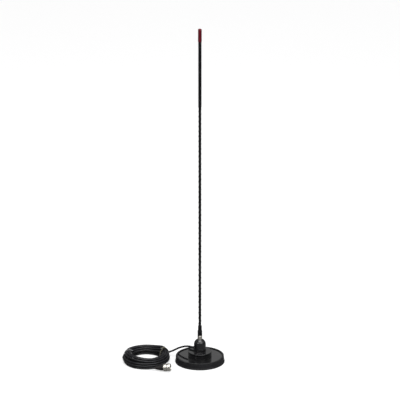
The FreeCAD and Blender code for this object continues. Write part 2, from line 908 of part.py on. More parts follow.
def make_jacket():
    step = s.ferrule_neck
    helix = step + s.ferrule_step
    over_neck = s.ferrule_neck_radius + s.fit_gap
    over_step = ferrule_step_radius + s.fit_gap
    thick = s.jacket_thick
    turned(
        "whip_jacket",
        [
            (over_neck, 0),
            (over_neck + thick, 0),
            (over_neck + thick, step),
            (over_step + thick, step + s.jacket_ease),
            (over_step + thick, helix),
            (jacket_radius, helix + s.jacket_ease),
            (jacket_radius, jacket_top - neck_foot),
            (jacket_bore, jacket_top - neck_foot),
            (jacket_bore, helix + s.jacket_ease),
            (over_step, helix + s.fit_gap),
            (over_step, step + s.jacket_ease),
            (over_neck, step + s.fit_gap),
        ],
        neck_foot,
    )


def make_tip_cap():
    body = turned(
        "tip_cap",
        [
            (cap_bore, 0),
            (cap_radius, 0),
            (cap_radius, s.cap_length),
            (0, s.cap_length),
            (0, s.cap_length - s.cap_end),
            (cap_bore, s.cap_length - s.cap_end),
        ],
        cap_foot,
    )
    dress(body, "Fillet", s.cap_end, rim_at(cap_radius, s.cap_length))


# --- cable -------------------------------------------------------------------------------------------------


def along_gland(distance, height):
    """A point on the radius of the dome that the cable leaves along."""
    turn = math.radians(s.gland_angle.value)
    return Vector(distance * math.cos(turn), distance * math.sin(turn), height)


def make_gland():
    start = dome_base_radius + s.fit_gap
    nose = start + s.gland_reach
    bore = s.cable_radius + s.fit_gap
    stem = s.cable_radius + s.gland_stem_wall
    collar = stem + s.gland_collar
    blank = turned(
        "cable_gland",
        [
            (bore, 0),
            (stem, 0),
            (stem, start - register_bore),
            (collar, start - register_bore),
            (collar, start - register_bore + s.gland_reach * 0.3),
            (s.cable_radius + s.gland_nose_wall, nose - register_bore),
            (bore, nose - register_bore),
        ],
    )
    blank.Placement = Placement(along_gland(register_bore.value, gland_z.value), gland_turn)
    entry = doc.addObject("Part::Cylinder", "cable_entry")
    entry.Label = "cable_entry"
    bind(entry, "Radius", s.cable_radius)
    bind(entry, "Height", nose - cable_end_ring)
    entry.Placement = Placement(along_gland(cable_end_ring.value, gland_z.value), gland_turn)


def bent_tube(label, points, radius):
    """Straight runs joined by tangent arcs, each as large as 0.45 of its shorter run allows."""
    edges = []
    radii = []
    length = 0
    start = points[0]
    for before, corner, after in zip(points, points[1:], points[2:]):
        way_in = (corner - before).normalize()
        way_out = (after - corner).normalize()
        shorter = min((corner - before).Length, (after - corner).Length)
        half_turn = way_in.getAngle(way_out) / 2
        tangent = 0.45 * shorter
        bend = tangent / math.tan(half_turn)
        arc_start = corner - way_in * tangent
        arc_end = corner + way_out * tangent
        inward = (way_out - way_in).normalize()
        middle = corner + inward * (bend / math.cos(half_turn) - bend)
        edges.append(Part.LineSegment(start, arc_start).toShape())
        edges.append(Part.Arc(arc_start, middle, arc_end).toShape())
        length += (arc_start - start).Length + bend * half_turn * 2
        radii.append(bend)
        start = arc_end
    edges.append(Part.LineSegment(start, points[-1]).toShape())
    length += (points[-1] - start).Length
    path = Part.Wire(edges)
    section = Part.Wire([Part.makeCircle(radius, points[0], points[1] - points[0])])
    shape = path.makePipeShell([section], True, False)
    expected = math.pi * radius**2 * length
    if abs(shape.Volume / expected - 1) > 0.01:
        raise ValueError(f"{label}: volume {shape.Volume:.1f}, section times length {expected:.1f}")
    print(f"{label}: length {length:.1f}, bend radii " + " ".join(f"{bend:.0f}" for bend in radii))
    return plain(label, shape)


def make_inner_wires():
    """The cable's core to the socket's lug, and its braid to the lug on the dome's floor."""
    cable_end = cable_end_ring.value
    feed_ring = (s.feed_lug_tail - s.lug_inset).value
    lug_face = (socket_foot - s.lug_thick).value
    core = [
        along_gland(cable_end, gland_z.value),
        along_gland(feed_ring, gland_z.value),
        along_gland(feed_ring, lug_face),
    ]
    bent_tube("feed_wire", core, s.core_radius.value)
    turn = math.radians(s.base_screw_angle.value)
    eye = Vector(math.cos(turn), math.sin(turn), 0) * base_screw_ring.value
    turn = math.radians(GROUND_LUG_TURN)
    tail = eye + Vector(math.cos(turn), math.sin(turn), 0) * (s.ground_lug_tail - s.lug_inset).value
    braid_height = gland_z.value - s.cable_radius.value * 0.6
    lug_top = (flange_crown + s.dome_floor + s.washer_thick).value
    braid = [
        along_gland(cable_end - s.braid_radius.value, braid_height),
        Vector(tail.x, tail.y, braid_height),
        Vector(tail.x, tail.y, lug_top),
    ]
    bent_tube("ground_wire", braid, s.braid_radius.value)


LEAD_POINTS = [
    (-41.0, 25.0, 33.2),
    (-55.0, 31.0, 27.0),
    (-68.0, 37.5, 17.5),
    (-80.0, 44.5, 9.2),
    (-93.0, 51.0, 4.4),
    (-104.5, 56.0, 4.0),
    (-116.0, 60.0, 6.0),
]

TAIL_POINTS = [
    (-176.0, -42.6, 4.2),
    (-160.5, -53.5, 2.6),
    (-146.0, -60.8, 2.7),
]


def make_cable():
    nose = dome_base_radius.value + s.fit_gap.value + s.gland_reach.value
    lead = [along_gland(ring, gland_z.value) for ring in (nose, LEAD_FIRST_RING)]
    lead += [Vector(*point) for point in LEAD_POINTS]
    bent_tube("coax_lead", lead, s.cable_radius.value)
    rear = plug_point(-s.boot_rear_at.value)
    tail = [Vector(*point) for point in TAIL_POINTS]
    tail += [plug_point(-s.boot_rear_at.value - PLUG_STRAIGHT), rear]
    bent_tube("coax_tail", tail, s.cable_radius.value)


def bundle_section(grow):
    """The outline across the coiled cable, grown outwards by an even distance."""
    inner = s.coil_inner - grow
    outer = s.coil_outer + grow
    foot = s.coil_floor - grow
    top = s.coil_top + grow
    spread = 2 - math.sqrt(2)
    low = s.coil_low_corner + grow * spread
    high = s.coil_top_corner + grow * spread
    return [
        (inner + low, foot),
        (outer - low, foot),
        (outer, foot + low),
        (outer, top - high),
        (outer - high, top),
        (inner + high, top),
        (inner, top - high),
        (inner, foot + low),
    ]


def make_coil():
    coil = turned("coax_coil", bundle_section(as_size(0)))
    bind(coil, "Placement.Base.x", s.coil_centre_x)
    bind(coil, "Placement.Base.y", s.coil_centre_y)
    for label, angle in (("coil_tie_left", s.tie_left_angle), ("coil_tie_right", s.tie_right_angle)):
        body = new_body(label)
        band = new_sketch(body, "band")
        add_outline(band, bundle_section(s.tie_gap), "inside")
        add_outline(band, bundle_section(s.tie_gap + s.tie_thick), "outside")
        feature = pad(body, band, s.tie_width)
        feature.Midplane = True
        body.Placement = Placement(Vector(0, 0, 0), Rotation(Vector(0, 0, 1), angle.value))
        bind(body, "Placement.Base.x", s.coil_centre_x)
        bind(body, "Placement.Base.y", s.coil_centre_y)
        doc.recompute()


# --- plug --------------------------------------------------------------------------------------------------


def plug_point(along):
    return plug_origin + plug_axis * along


def plug_piece(label, corners):
    """A turned piece of the plug, drawn about +Z and laid along the plug's axis."""
    body = turned(label, corners)
    body.Placement = Placement(plug_origin, Rotation(Vector(0, 0, 1), plug_axis))
    return body


def make_plug():
    barrel_hole = s.plug_barrel_radius + s.plug_gap
    ring = plug_piece(
        "coupling_ring",
        [
            (barrel_hole, 0),
            (ring_radius, 0),
            (ring_radius, s.ring_length),
            (s.ring_bore, s.ring_length),
            (s.ring_bore, s.ring_back),
            (barrel_hole, s.ring_back),
        ],
    )
    dress(ring, "Chamfer", s.ring_edge, rim_at(ring_radius, as_size(0)))
    dress(ring, "Chamfer", s.ring_edge, rim_at(ring_radius, s.ring_length))
    rear = -s.plug_barrel_rear
    flange = s.ring_back + s.plug_gap
    flange_radius = s.ring_bore - s.plug_flange_gap
    reducer_radius = s.cable_radius + s.reducer_wall
    reducer_bore = reducer_radius + s.fit_gap
    core_bore = s.cable_radius + s.fit_gap
    reducer_end = -s.reducer_front + s.fit_gap
    seat = s.insulator_seat
    plug_piece(
        "plug_body",
        [
            (reducer_bore, rear),
            (s.plug_barrel_radius, rear),
            (s.plug_barrel_radius, flange),
            (flange_radius, flange),
            (flange_radius, flange + s.plug_flange),
            (s.plug_sleeve_radius, flange + s.plug_flange),
            (s.plug_sleeve_radius, s.plug_sleeve_end),
            (s.plug_sleeve_bore, s.plug_sleeve_end),
            (s.plug_sleeve_bore, seat),
            (core_bore, seat),
            (core_bore, reducer_end),
            (reducer_bore, reducer_end),
        ],
    )
    plug_piece(
        "plug_insulator",
        [
            (s.pin_radius + s.fit_gap, seat + s.fit_gap),
            (s.plug_sleeve_bore - s.fit_gap, seat + s.fit_gap),
            (s.plug_sleeve_bore - s.fit_gap, s.insulator_end),
            (s.pin_radius + s.fit_gap, s.insulator_end),
        ],
    )
    pin = plug_piece("centre_pin", [(0, 0), (s.pin_radius, 0), (s.pin_radius, s.pin_end), (0, s.pin_end)])
    dress(pin, "Fillet", s.pin_radius * 0.6, rim_at(s.pin_radius, s.pin_end))
    collar = rear - s.reducer_collar_length
    collar_radius = reducer_radius + s.reducer_collar
    plug_piece(
        "plug_reducer",
        [
            (core_bore, collar),
            (collar_radius, collar),
            (collar_radius, rear - s.fit_gap),
            (reducer_radius, rear - s.fit_gap),
            (reducer_radius, -s.reducer_front),
            (core_bore, -s.reducer_front),
        ],
    )
    plug_piece(
        "plug_boot",
        [
            (core_bore, -s.boot_rear_at),
            (s.cable_radius + s.boot_rear_wall, -s.boot_rear_at),
            (s.boot_cone_radius, -s.boot_cone_at),
            (s.boot_front_radius, -s.boot_front_at),
            (s.plug_barrel_radius + s.fit_gap, -s.boot_front_at),
            (s.plug_barrel_radius + s.fit_gap, rear - s.fit_gap),
            (collar_radius + s.fit_gap, rear - s.fit_gap),
            (collar_radius + s.fit_gap, collar - s.fit_gap),
            (core_bore, collar - s.fit_gap),
        ],
    )
    plug_piece(
        "plug_cable_end",
        [
            (0, -s.boot_rear_at),
            (s.cable_radius, -s.boot_rear_at),
            (s.cable_radius, -s.reducer_front - s.fit_gap),
            (0, -s.reducer_front - s.fit_gap),
        ],
    )


# --- writing -----------------------------------------------------------------------------------------------

NODES = [
    "rubber_boot", "steel_cup", "ring_magnet", "pole_plate", "resin_ring", "spacer_sleeve", "mount_bolt",
    "flange_gasket", "mount_flange", "dome_base", "dome_seal", "dome_cap", "cap_set_screws", "base_screws",
    "screw_washers", "ground_lug", "feed_lug", "feed_screw", "antenna_socket", "feed_wire", "ground_wire",
    "cable_gland", "cable_entry", "lock_washer", "ferrule", "fibreglass_rod", "radiator_wire", "loading_coil",
    "whip_jacket", "tip_cap", "coax_lead", "coax_coil", "coil_tie_left", "coil_tie_right", "coax_tail",
    "plug_cable_end", "plug_boot", "plug_reducer", "plug_body", "plug_insulator", "centre_pin", "coupling_ring",
]


def write_parts():
    doc.recompute()
    failed = [item.Name for item in doc.Objects if {"Invalid", "Error"} & set(item.State)]
    if failed:
        raise ValueError("failed: " + ", ".join(failed))
    labelled = {item.Label: item for item in doc.Objects}
    for node in NODES:
        shape = labelled[node].Shape
        if shape.isNull() or not shape.isValid() or not shape.Solids:
            raise ValueError(f"{node} is not a valid solid")
    os.makedirs("parts", exist_ok=True)
    for node in NODES:
        labelled[node].Shape.exportStep(os.path.join("parts", f"{node}.step"))
    print(f"{len(NODES)} sub-parts written")


make_rubber_boot()
make_steel_cup()
make_magnet_stack()
make_mount_bolt()
make_flange()
make_dome_base()
make_dome_cap()
make_base_screws()
make_terminals()
make_socket()
make_lock_washer()
make_ferrule()
make_radiator()
make_jacket()
make_tip_cap()
make_gland()
make_inner_wires()
make_cable()
make_coil()
make_plug()
write_parts()
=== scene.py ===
import json
import math
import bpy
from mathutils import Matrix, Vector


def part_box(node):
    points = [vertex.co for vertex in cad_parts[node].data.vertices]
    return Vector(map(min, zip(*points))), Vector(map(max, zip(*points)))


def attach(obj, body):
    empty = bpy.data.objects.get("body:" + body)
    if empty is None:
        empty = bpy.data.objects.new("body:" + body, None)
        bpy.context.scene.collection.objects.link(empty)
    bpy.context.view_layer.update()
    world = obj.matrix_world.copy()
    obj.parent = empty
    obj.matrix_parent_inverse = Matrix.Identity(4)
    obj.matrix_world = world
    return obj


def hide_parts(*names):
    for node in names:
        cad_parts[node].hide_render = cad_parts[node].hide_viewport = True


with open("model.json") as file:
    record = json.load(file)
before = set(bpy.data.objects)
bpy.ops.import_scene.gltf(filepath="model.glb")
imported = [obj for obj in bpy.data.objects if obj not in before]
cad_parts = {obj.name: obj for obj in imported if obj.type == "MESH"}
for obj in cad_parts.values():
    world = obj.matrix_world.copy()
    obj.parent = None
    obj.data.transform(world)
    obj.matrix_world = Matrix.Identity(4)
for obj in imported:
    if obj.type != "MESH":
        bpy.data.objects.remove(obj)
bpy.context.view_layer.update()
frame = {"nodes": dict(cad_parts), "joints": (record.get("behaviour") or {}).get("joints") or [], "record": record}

from types import SimpleNamespace

import bmesh
import bpy
import numpy as np
from mathutils import Matrix, Vector

scene = bpy.context.scene
mm = 0.001
fullTurn = 2 * math.pi


# places and levels, in millimetres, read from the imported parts

def span(node):
    low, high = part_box(node)
    return [value / mm for value in low], [value / mm for value in high]


def floorOf(node):
    return span(node)[0][2]


def topOf(node):
    return span(node)[1][2]


ringJoint = next(joint for joint in frame["joints"] if joint["name"] == "ring_spin")
plugPlace = Matrix.Translation(Vector(ringJoint["pos_m"]) / mm)
plugTurn = Vector((0, 0, 1)).rotation_difference(Vector(ringJoint["axis"]))
plugPlace = plugPlace @ plugTurn.to_matrix().to_4x4()
glandBearing = 145.0
glandHeight = (floorOf("cable_entry") + topOf("cable_entry")) / 2
bodyOf = {node: body for body, nodes in frame["record"]["behaviour"]["bodies"].items() for node in nodes}
slotOf = {part["node"]: part["material_slot"] for part in frame["record"]["subparts"]}


def wireNode(tree, kind, values=None, **settings):
    # a node with its settings, and each input given a number or linked to a socket
    node = tree.nodes.new(kind)
    for key, value in settings.items():
        setattr(node, key, value)
    for key, value in (values or {}).items():
        if isinstance(value, bpy.types.NodeSocket):
            tree.links.new(value, node.inputs[key])
        else:
            node.inputs[key].default_value = value
    return node


def meshFrom(build, name):
    mesh = bpy.data.meshes.new(name)
    build.to_mesh(mesh)
    build.free()
    return mesh


# camera, floor and light

cameraSetup = {
    "tilt": 21.0,
    "distance": 24.2,
    "lens": 820.7,
    "aimHeight": 0.4614,
    "aimAcross": 0.0003,
}


def addCamera():
    data = bpy.data.cameras.new("camera")
    data.lens = cameraSetup["lens"]
    data.clip_end = cameraSetup["distance"] * 4
    camera = bpy.data.objects.new("camera", data)
    tilt = math.radians(cameraSetup["tilt"])
    aim = Vector((cameraSetup["aimAcross"], 0, cameraSetup["aimHeight"]))
    camera.location = aim + Vector((0, -math.cos(tilt), math.sin(tilt))) * cameraSetup["distance"]
    camera.rotation_euler = (math.pi / 2 - tilt, 0, 0)
    scene.collection.objects.link(camera)
    scene.camera = camera


lightSetup = {
    "world": 0.39,
    "horizon": 0.06,
    "riseFrom": 0.02,
    "riseTo": 0.34,
    "backdrop": 1.0,
    "paper": 0.37,
    "glow": 0.56,
    "bounce": 0.2,
    "floorReach": 60.0,
    "floorDrop": 0.0002,
    "softboxes": [
        # name, place, size, power
        ("overhead", (0.0, -0.3, 2.6), 2.2, 42.0),
        ("leftFront", (-1.6, -1.9, 1.5), 0.8, 13.0),
        ("rightFront", (1.9, -1.7, 1.7), 0.8, 10.0),
    ],
    "sunPower": 2.1,
    "sunAngle": 70.0,
    "sunTilt": (28.0, 12.0, 0.0),
}


def addLight():
    world = bpy.data.worlds.new("studio")
    scene.world = world
    world.use_nodes = True
    tree = world.node_tree
    soft = tree.nodes["Background"]
    soft.inputs["Color"].default_value = (1, 1, 1, 1)
    # the room darkens towards the horizon
    way = wireNode(tree, "ShaderNodeTexCoord").outputs["Generated"]
    values = {"Value": wireNode(tree, "ShaderNodeSeparateXYZ", {0: way}).outputs["Z"]}
    values.update({"From Min": lightSetup["riseFrom"], "From Max": lightSetup["riseTo"]})
    values.update({"To Min": lightSetup["horizon"], "To Max": lightSetup["world"]})
    fade = wireNode(tree, "ShaderNodeMapRange", values, interpolation_type="SMOOTHSTEP")
    tree.links.new(fade.outputs["Result"], soft.inputs["Strength"])
    seen = wireNode(tree, "ShaderNodeBackground", {"Strength": lightSetup["backdrop"]})
    toCamera = wireNode(tree, "ShaderNodeLightPath").outputs["Is Camera Ray"]
    values = {"Fac": toCamera, 1: soft.outputs["Background"], 2: seen.outputs["Background"]}
    mix = wireNode(tree, "ShaderNodeMixShader", values)
    tree.links.new(mix.outputs["Shader"], tree.nodes["World Output"].inputs["Surface"])
    for name, place, size, power in lightSetup["softboxes"]:
        data = bpy.data.lights.new(name, "AREA")
        data.shape = "DISK"
        data.size = size
        data.energy = power
        lamp = bpy.data.objects.new(name, data)
        lamp.location = place
        aim = Vector((0, 0, 0.15)) - Vector(place)
        lamp.rotation_euler = aim.to_track_quat("-Z", "Y").to_euler()
        scene.collection.objects.link(lamp)
    data = bpy.data.lights.new("skylight", "SUN")
    data.energy = lightSetup["sunPower"]
    data.angle = math.radians(lightSetup["sunAngle"])
    sun = bpy.data.objects.new("skylight", data)
    sun.rotation_euler = [math.radians(angle) for angle in lightSetup["sunTilt"]]
    scene.collection.objects.link(sun)


def addFloor():
    reach = lightSetup["floorReach"]
    mesh = bpy.data.meshes.new("studioFloor")
    corners = [(-reach, -reach, 0), (reach, -reach, 0), (reach, reach, 0), (-reach, reach, 0)]
    mesh.from_pydata(corners, [], [(0, 1, 2, 3)])
    floor = bpy.data.objects.new("studioFloor", mesh)
    # pale paper that throws little light back up on the dark pieces
    paper = bpy.data.materials.new("paper")
    paper.use_nodes = True
    tree = paper.node_tree
    shader = tree.nodes["Principled BSDF"]
    shader.inputs["Roughness"].default_value = 0.9
    shader.inputs["Emission Color"].default_value = (1, 1, 1, 1)
    toCamera = wireNode(tree, "ShaderNodeLightPath").outputs["Is Camera Ray"]
    tones = [("Base Color", lightSetup["bounce"], lightSetup["paper"])]
    tones.append(("Emission Strength", 0, lightSetup["glow"]))
    for label, low, high in tones:
        tone = wireNode(tree, "ShaderNodeMapRange", {"Value": toCamera, "To Min": low, "To Max": high})
        tree.links.new(tone.outputs["Result"], shader.inputs[label])
    mesh.materials.append(paper)
    scene.collection.objects.link(floor)
    floor.location.z = -lightSetup["floorDrop"]


addCamera()
addLight()
addFloor()
scene.view_settings.view_transform = "Standard"
print("camera, light and floor")


# finishes: each is a principled shader with its own layered pattern, read from object coordinates

def newFinish(name, **values):
    finish = bpy.data.materials.new(name)
    finish.use_nodes = True
    shader = finish.node_tree.nodes["Principled BSDF"]
    for key, value in values.items():
        words = ["IOR" if word == "ior" else word.capitalize() for word in key.split("_")]
        socket = shader.inputs[" ".join(words)]
        socket.default_value = (*value, 1) if isinstance(value, tuple) and len(value) == 3 else value
    return finish


def addNode(finish, kind, values=None, **settings):
    return wireNode(finish.node_tree, kind, values, **settings)


def objectSpace(finish, scale=(1, 1, 1), turn=(0, 0, 0)):
    place = addNode(finish, "ShaderNodeTexCoord").outputs["Object"]
    values = {"Vector": place, "Scale": scale, "Rotation": turn}
    return addNode(finish, "ShaderNodeMapping", values).outputs["Vector"]


def noise(finish, size, detail=3.0, rough=0.55, stretch=(1, 1, 1)):
    # size is the pattern's grain in millimetres
    values = {
        "Vector": objectSpace(finish, stretch), "Scale": 1 / (size * mm), "Detail": detail,
        "Roughness": rough,
    }
    return addNode(finish, "ShaderNodeTexNoise", values).outputs["Fac"]


def remap(finish, value, low, high, toLow=0.0, toHigh=1.0):
    values = {"Value": value, "From Min": low, "From Max": high, "To Min": toLow, "To Max": toHigh}
    return addNode(finish, "ShaderNodeMapRange", values, interpolation_type="SMOOTHSTEP").outputs["Result"]


def combine(finish, how, first, second):
    return addNode(finish, "ShaderNodeMath", {0: first, 1: second}, operation=how).outputs["Value"]


def times(finish, first, second):
    return combine(finish, "MULTIPLY", first, second)


def blendColour(finish, share, first, second):
    node = addNode(finish, "ShaderNodeMix", data_type="RGBA")
    tree = finish.node_tree
    for socket, value in ((node.inputs[0], share), (node.inputs[6], first), (node.inputs[7], second)):
        if isinstance(value, bpy.types.NodeSocket):
            tree.links.new(value, socket)
        else:
            socket.default_value = (*value, 1) if isinstance(value, tuple) else value
    return node.outputs[2]


def layer(finish, base, mask, amount, colour):
    # a colour laid over the base where the mask is, at most by this amount
    return blendColour(finish, times(finish, mask, amount), base, colour)


def tinted(colour, factor):
    return tuple(min(1, value * factor) for value in colour)


def plug(finish, socket, value):
    shader = finish.node_tree.nodes["Principled BSDF"]
    finish.node_tree.links.new(value, shader.inputs[socket])


def relief(finish, *layers):
    # each layer is a height, a strength and a depth in millimetres
    normal = None
    for height, strength, depth in layers:
        values = {"Height": height, "Strength": strength, "Distance": depth * mm}
        if normal is not None:
            values["Normal"] = normal
        normal = addNode(finish, "ShaderNodeBump", values).outputs["Normal"]
    plug(finish, "Normal", normal)


def upward(finish, low=0.5, high=0.98):
    normal = addNode(finish, "ShaderNodeNewGeometry").outputs["Normal"]
    height = addNode(finish, "ShaderNodeSeparateXYZ", {0: normal}).outputs["Z"]
    return remap(finish, height, low, high)


def edges(finish, low=0.52, high=0.62):
    pointed = addNode(finish, "ShaderNodeNewGeometry").outputs["Pointiness"]
    return remap(finish, pointed, low, high)


def dusted(finish, colour, dust, amount, speck=0.9):
    # a thin film of dust on faces that look up, broken into clouds and specks
    cloud = remap(finish, noise(finish, 14, 4), 0.42, 0.75)
    specks = remap(finish, noise(finish, speck, 2), 0.66, 0.72)
    film = combine(finish, "MAXIMUM", cloud, specks)
    return layer(finish, colour, times(finish, film, upward(finish)), amount, dust)


rubberLook = {
    "dark": (0.0055, 0.0055, 0.0062), "pale": (0.0125, 0.0125, 0.0142), "dust": (0.09, 0.088, 0.082)
}


def makeRubber(name, dark=rubberLook["dark"], pale=rubberLook["pale"], roughness=0.62, dust=0.22, grain=0.35):
    finish = newFinish(name, roughness=roughness, ior=1.5, specular_ior_level=0.22)
    cloud = remap(finish, noise(finish, 22, 5), 0.35, 0.7)
    scuff = remap(finish, noise(finish, 3.2, 5, 0.7, (0.5, 0.5, 2.4)), 0.62, 0.8)
    base = blendColour(finish, cloud, dark, pale)
    base = layer(finish, base, scuff, 0.45, tinted(pale, 2.6))
    base = layer(finish, base, edges(finish), 0.4, tinted(pale, 2.2))
    plug(finish, "Base Color", dusted(finish, base, rubberLook["dust"], dust))
    plug(
        finish, "Roughness", remap(finish, noise(finish, 5, 4), 0.3, 0.75, roughness - 0.1, roughness + 0.14)
    )
    relief(finish, (noise(finish, grain, 3), 0.35, 0.05), (noise(finish, 2.6, 4), 0.25, 0.09))
    return finish


glossLook = {
    "paint": (0.0045, 0.0045, 0.005), "swirl": (0.011, 0.011, 0.012), "peel": 1.5,
    "dust": (0.16, 0.155, 0.145),
}


def makeGloss(name, colour=glossLook["paint"], roughness=0.09, coat=0.6, peel=0.12, dust=0.05):
    # sprayed or moulded gloss black: orange peel, hairline swirls and a little dust
    finish = newFinish(
        name, roughness=roughness, ior=1.5, coat_weight=coat, coat_roughness=0.05, coat_ior=1.45
    )
    swirl = noise(finish, 0.9, 6, 0.75, (3.5, 0.45, 1.0))
    hair = remap(finish, swirl, 0.66, 0.78)
    base = blendColour(finish, hair, colour, glossLook["swirl"])
    plug(finish, "Base Color", dusted(finish, base, glossLook["dust"], dust, 0.45))
    smudge = remap(finish, noise(finish, 17, 5, 0.6), 0.42, 0.72, 0.0, 0.11)
    worn = combine(finish, "ADD", remap(finish, swirl, 0.6, 0.8, roughness, roughness + 0.12), smudge)
    plug(finish, "Roughness", worn)
    relief(
        finish, (noise(finish, glossLook["peel"], 2, 0.4), peel, 0.02),
        (noise(finish, 9, 2), peel * 0.6, 0.06),
    )
    return finish


def makeMetal(name, bright, dull, roughness=0.24, lines=0.5, tarnish=0.35, grain=(1, 1, 14)):
    # plated or turned metal: fine machining lines, blotches of tarnish, brighter edges
    finish = newFinish(name, metallic=1.0, roughness=roughness)
    blotch = remap(finish, noise(finish, 5.5, 5, 0.6), 0.42, 0.72)
    fine = noise(finish, 0.55, 3, 0.6, grain)
    base = layer(finish, bright, blotch, tarnish, dull)
    base = layer(finish, base, edges(finish), 0.5, tinted(bright, 1.2))
    # darker in the hollows and thread roots: painted shade
    base = layer(finish, base, edges(finish, 0.49, 0.4), 0.7, tinted(dull, 0.2))
    plug(finish, "Base Color", base)
    lined = remap(finish, fine, 0.3, 0.7, roughness - 0.07, roughness + 0.09)
    plug(finish, "Roughness", combine(finish, "ADD", lined, times(finish, blotch, 0.1)))
    relief(finish, (fine, lines, 0.012), (noise(finish, 1.4, 3), 0.15, 0.03))
    return finish


def makePlastic(name, dark, pale, roughness, cloud, grain, bumpy, lengthwise=1.0, shine=0.5):
    finish = newFinish(name, roughness=roughness, ior=1.48, specular_ior_level=shine)
    tone = remap(finish, noise(finish, cloud, 5, 0.6, (1, 1, lengthwise)), 0.35, 0.7)
    speck = remap(finish, noise(finish, grain * 2.4, 3), 0.63, 0.72)
    base = blendColour(finish, tone, dark, pale)
    plug(finish, "Base Color", layer(finish, base, speck, 0.3, tinted(pale, 1.7)))
    plug(
        finish, "Roughness",
        remap(finish, noise(finish, cloud * 0.4, 4), 0.3, 0.75, roughness - 0.07, roughness + 0.12),
    )
    relief(
        finish, (noise(finish, grain, 3), bumpy, 0.03), (noise(finish, cloud * 0.25, 3), bumpy * 0.8, 0.08)
    )
    return finish


def makeJacket(name):
    # heat-shrink over the winding: faint lengthwise draw marks and a dusty bloom
    finish = newFinish(name, roughness=0.4, ior=1.45, specular_ior_level=0.17)
    draw = noise(finish, 1.1, 4, 0.6, (1, 1, 0.05))
    bloom = remap(finish, noise(finish, 16, 5, 0.6, (1, 1, 0.35)), 0.35, 0.72)
    base = blendColour(finish, bloom, (0.003, 0.003, 0.0036), (0.0085, 0.0082, 0.0096))
    marks = remap(finish, draw, 0.58, 0.7)
    plug(finish, "Base Color", layer(finish, base, marks, 0.5, (0.02, 0.0195, 0.022)))
    plug(finish, "Roughness", remap(finish, noise(finish, 4, 4), 0.3, 0.7, 0.32, 0.48))
    relief(finish, (draw, 0.25, 0.03), (noise(finish, 0.35, 3), 0.15, 0.02))
    return finish


waveStep = 0.314  # a wave texture at this scale has one band for each unit of length


def makeWoven(name, dark, pale, pitch=0.55):
    # woven strap: two crossing sets of yarns
    finish = newFinish(name, roughness=0.8, sheen_weight=0.25, sheen_roughness=0.5)
    yarns = []
    for turn in (math.radians(38), math.radians(-38)):
        place = objectSpace(finish, (1, 1, 1), (0, turn, math.radians(20)))
        values = {"Vector": place, "Scale": waveStep / (pitch * mm), "Distortion": 0.6}
        yarns.append(addNode(finish, "ShaderNodeTexWave", values).outputs["Fac"])
    weave = times(finish, *yarns)
    fuzz = noise(finish, 0.25, 4, 0.7)
    # paler where the yarns cross on top and darker where the weave dips: painted shade
    base = blendColour(finish, remap(finish, weave, 0.05, 0.6), dark, pale)
    plug(finish, "Base Color", layer(finish, base, remap(finish, fuzz, 0.5, 0.8), 0.4, tinted(pale, 1.5)))
    relief(finish, (weave, 0.6, 0.12), (fuzz, 0.3, 0.05))
    return finish


def makeWound(name, dark, pale, pitch):
    # close-wound enamelled wire: one ridge for each turn
    finish = newFinish(name, metallic=0.85, roughness=0.3)
    values = {"Vector": objectSpace(finish), "Scale": waveStep / (pitch * mm)}
    ridge = addNode(finish, "ShaderNodeTexWave", values, bands_direction="Z").outputs["Fac"]
    # paler on each turn's crest and darker in the grooves between turns, broken by noise: painted highlight and
    # painted shade
    tone = times(
        finish, remap(finish, ridge, 0.1, 0.7), remap(finish, noise(finish, 6, 3), 0.2, 0.6, 0.6, 1.0)
    )
    plug(finish, "Base Color", blendColour(finish, tone, dark, pale))
    relief(finish, (ridge, 0.8, pitch * 0.4))
    return finish


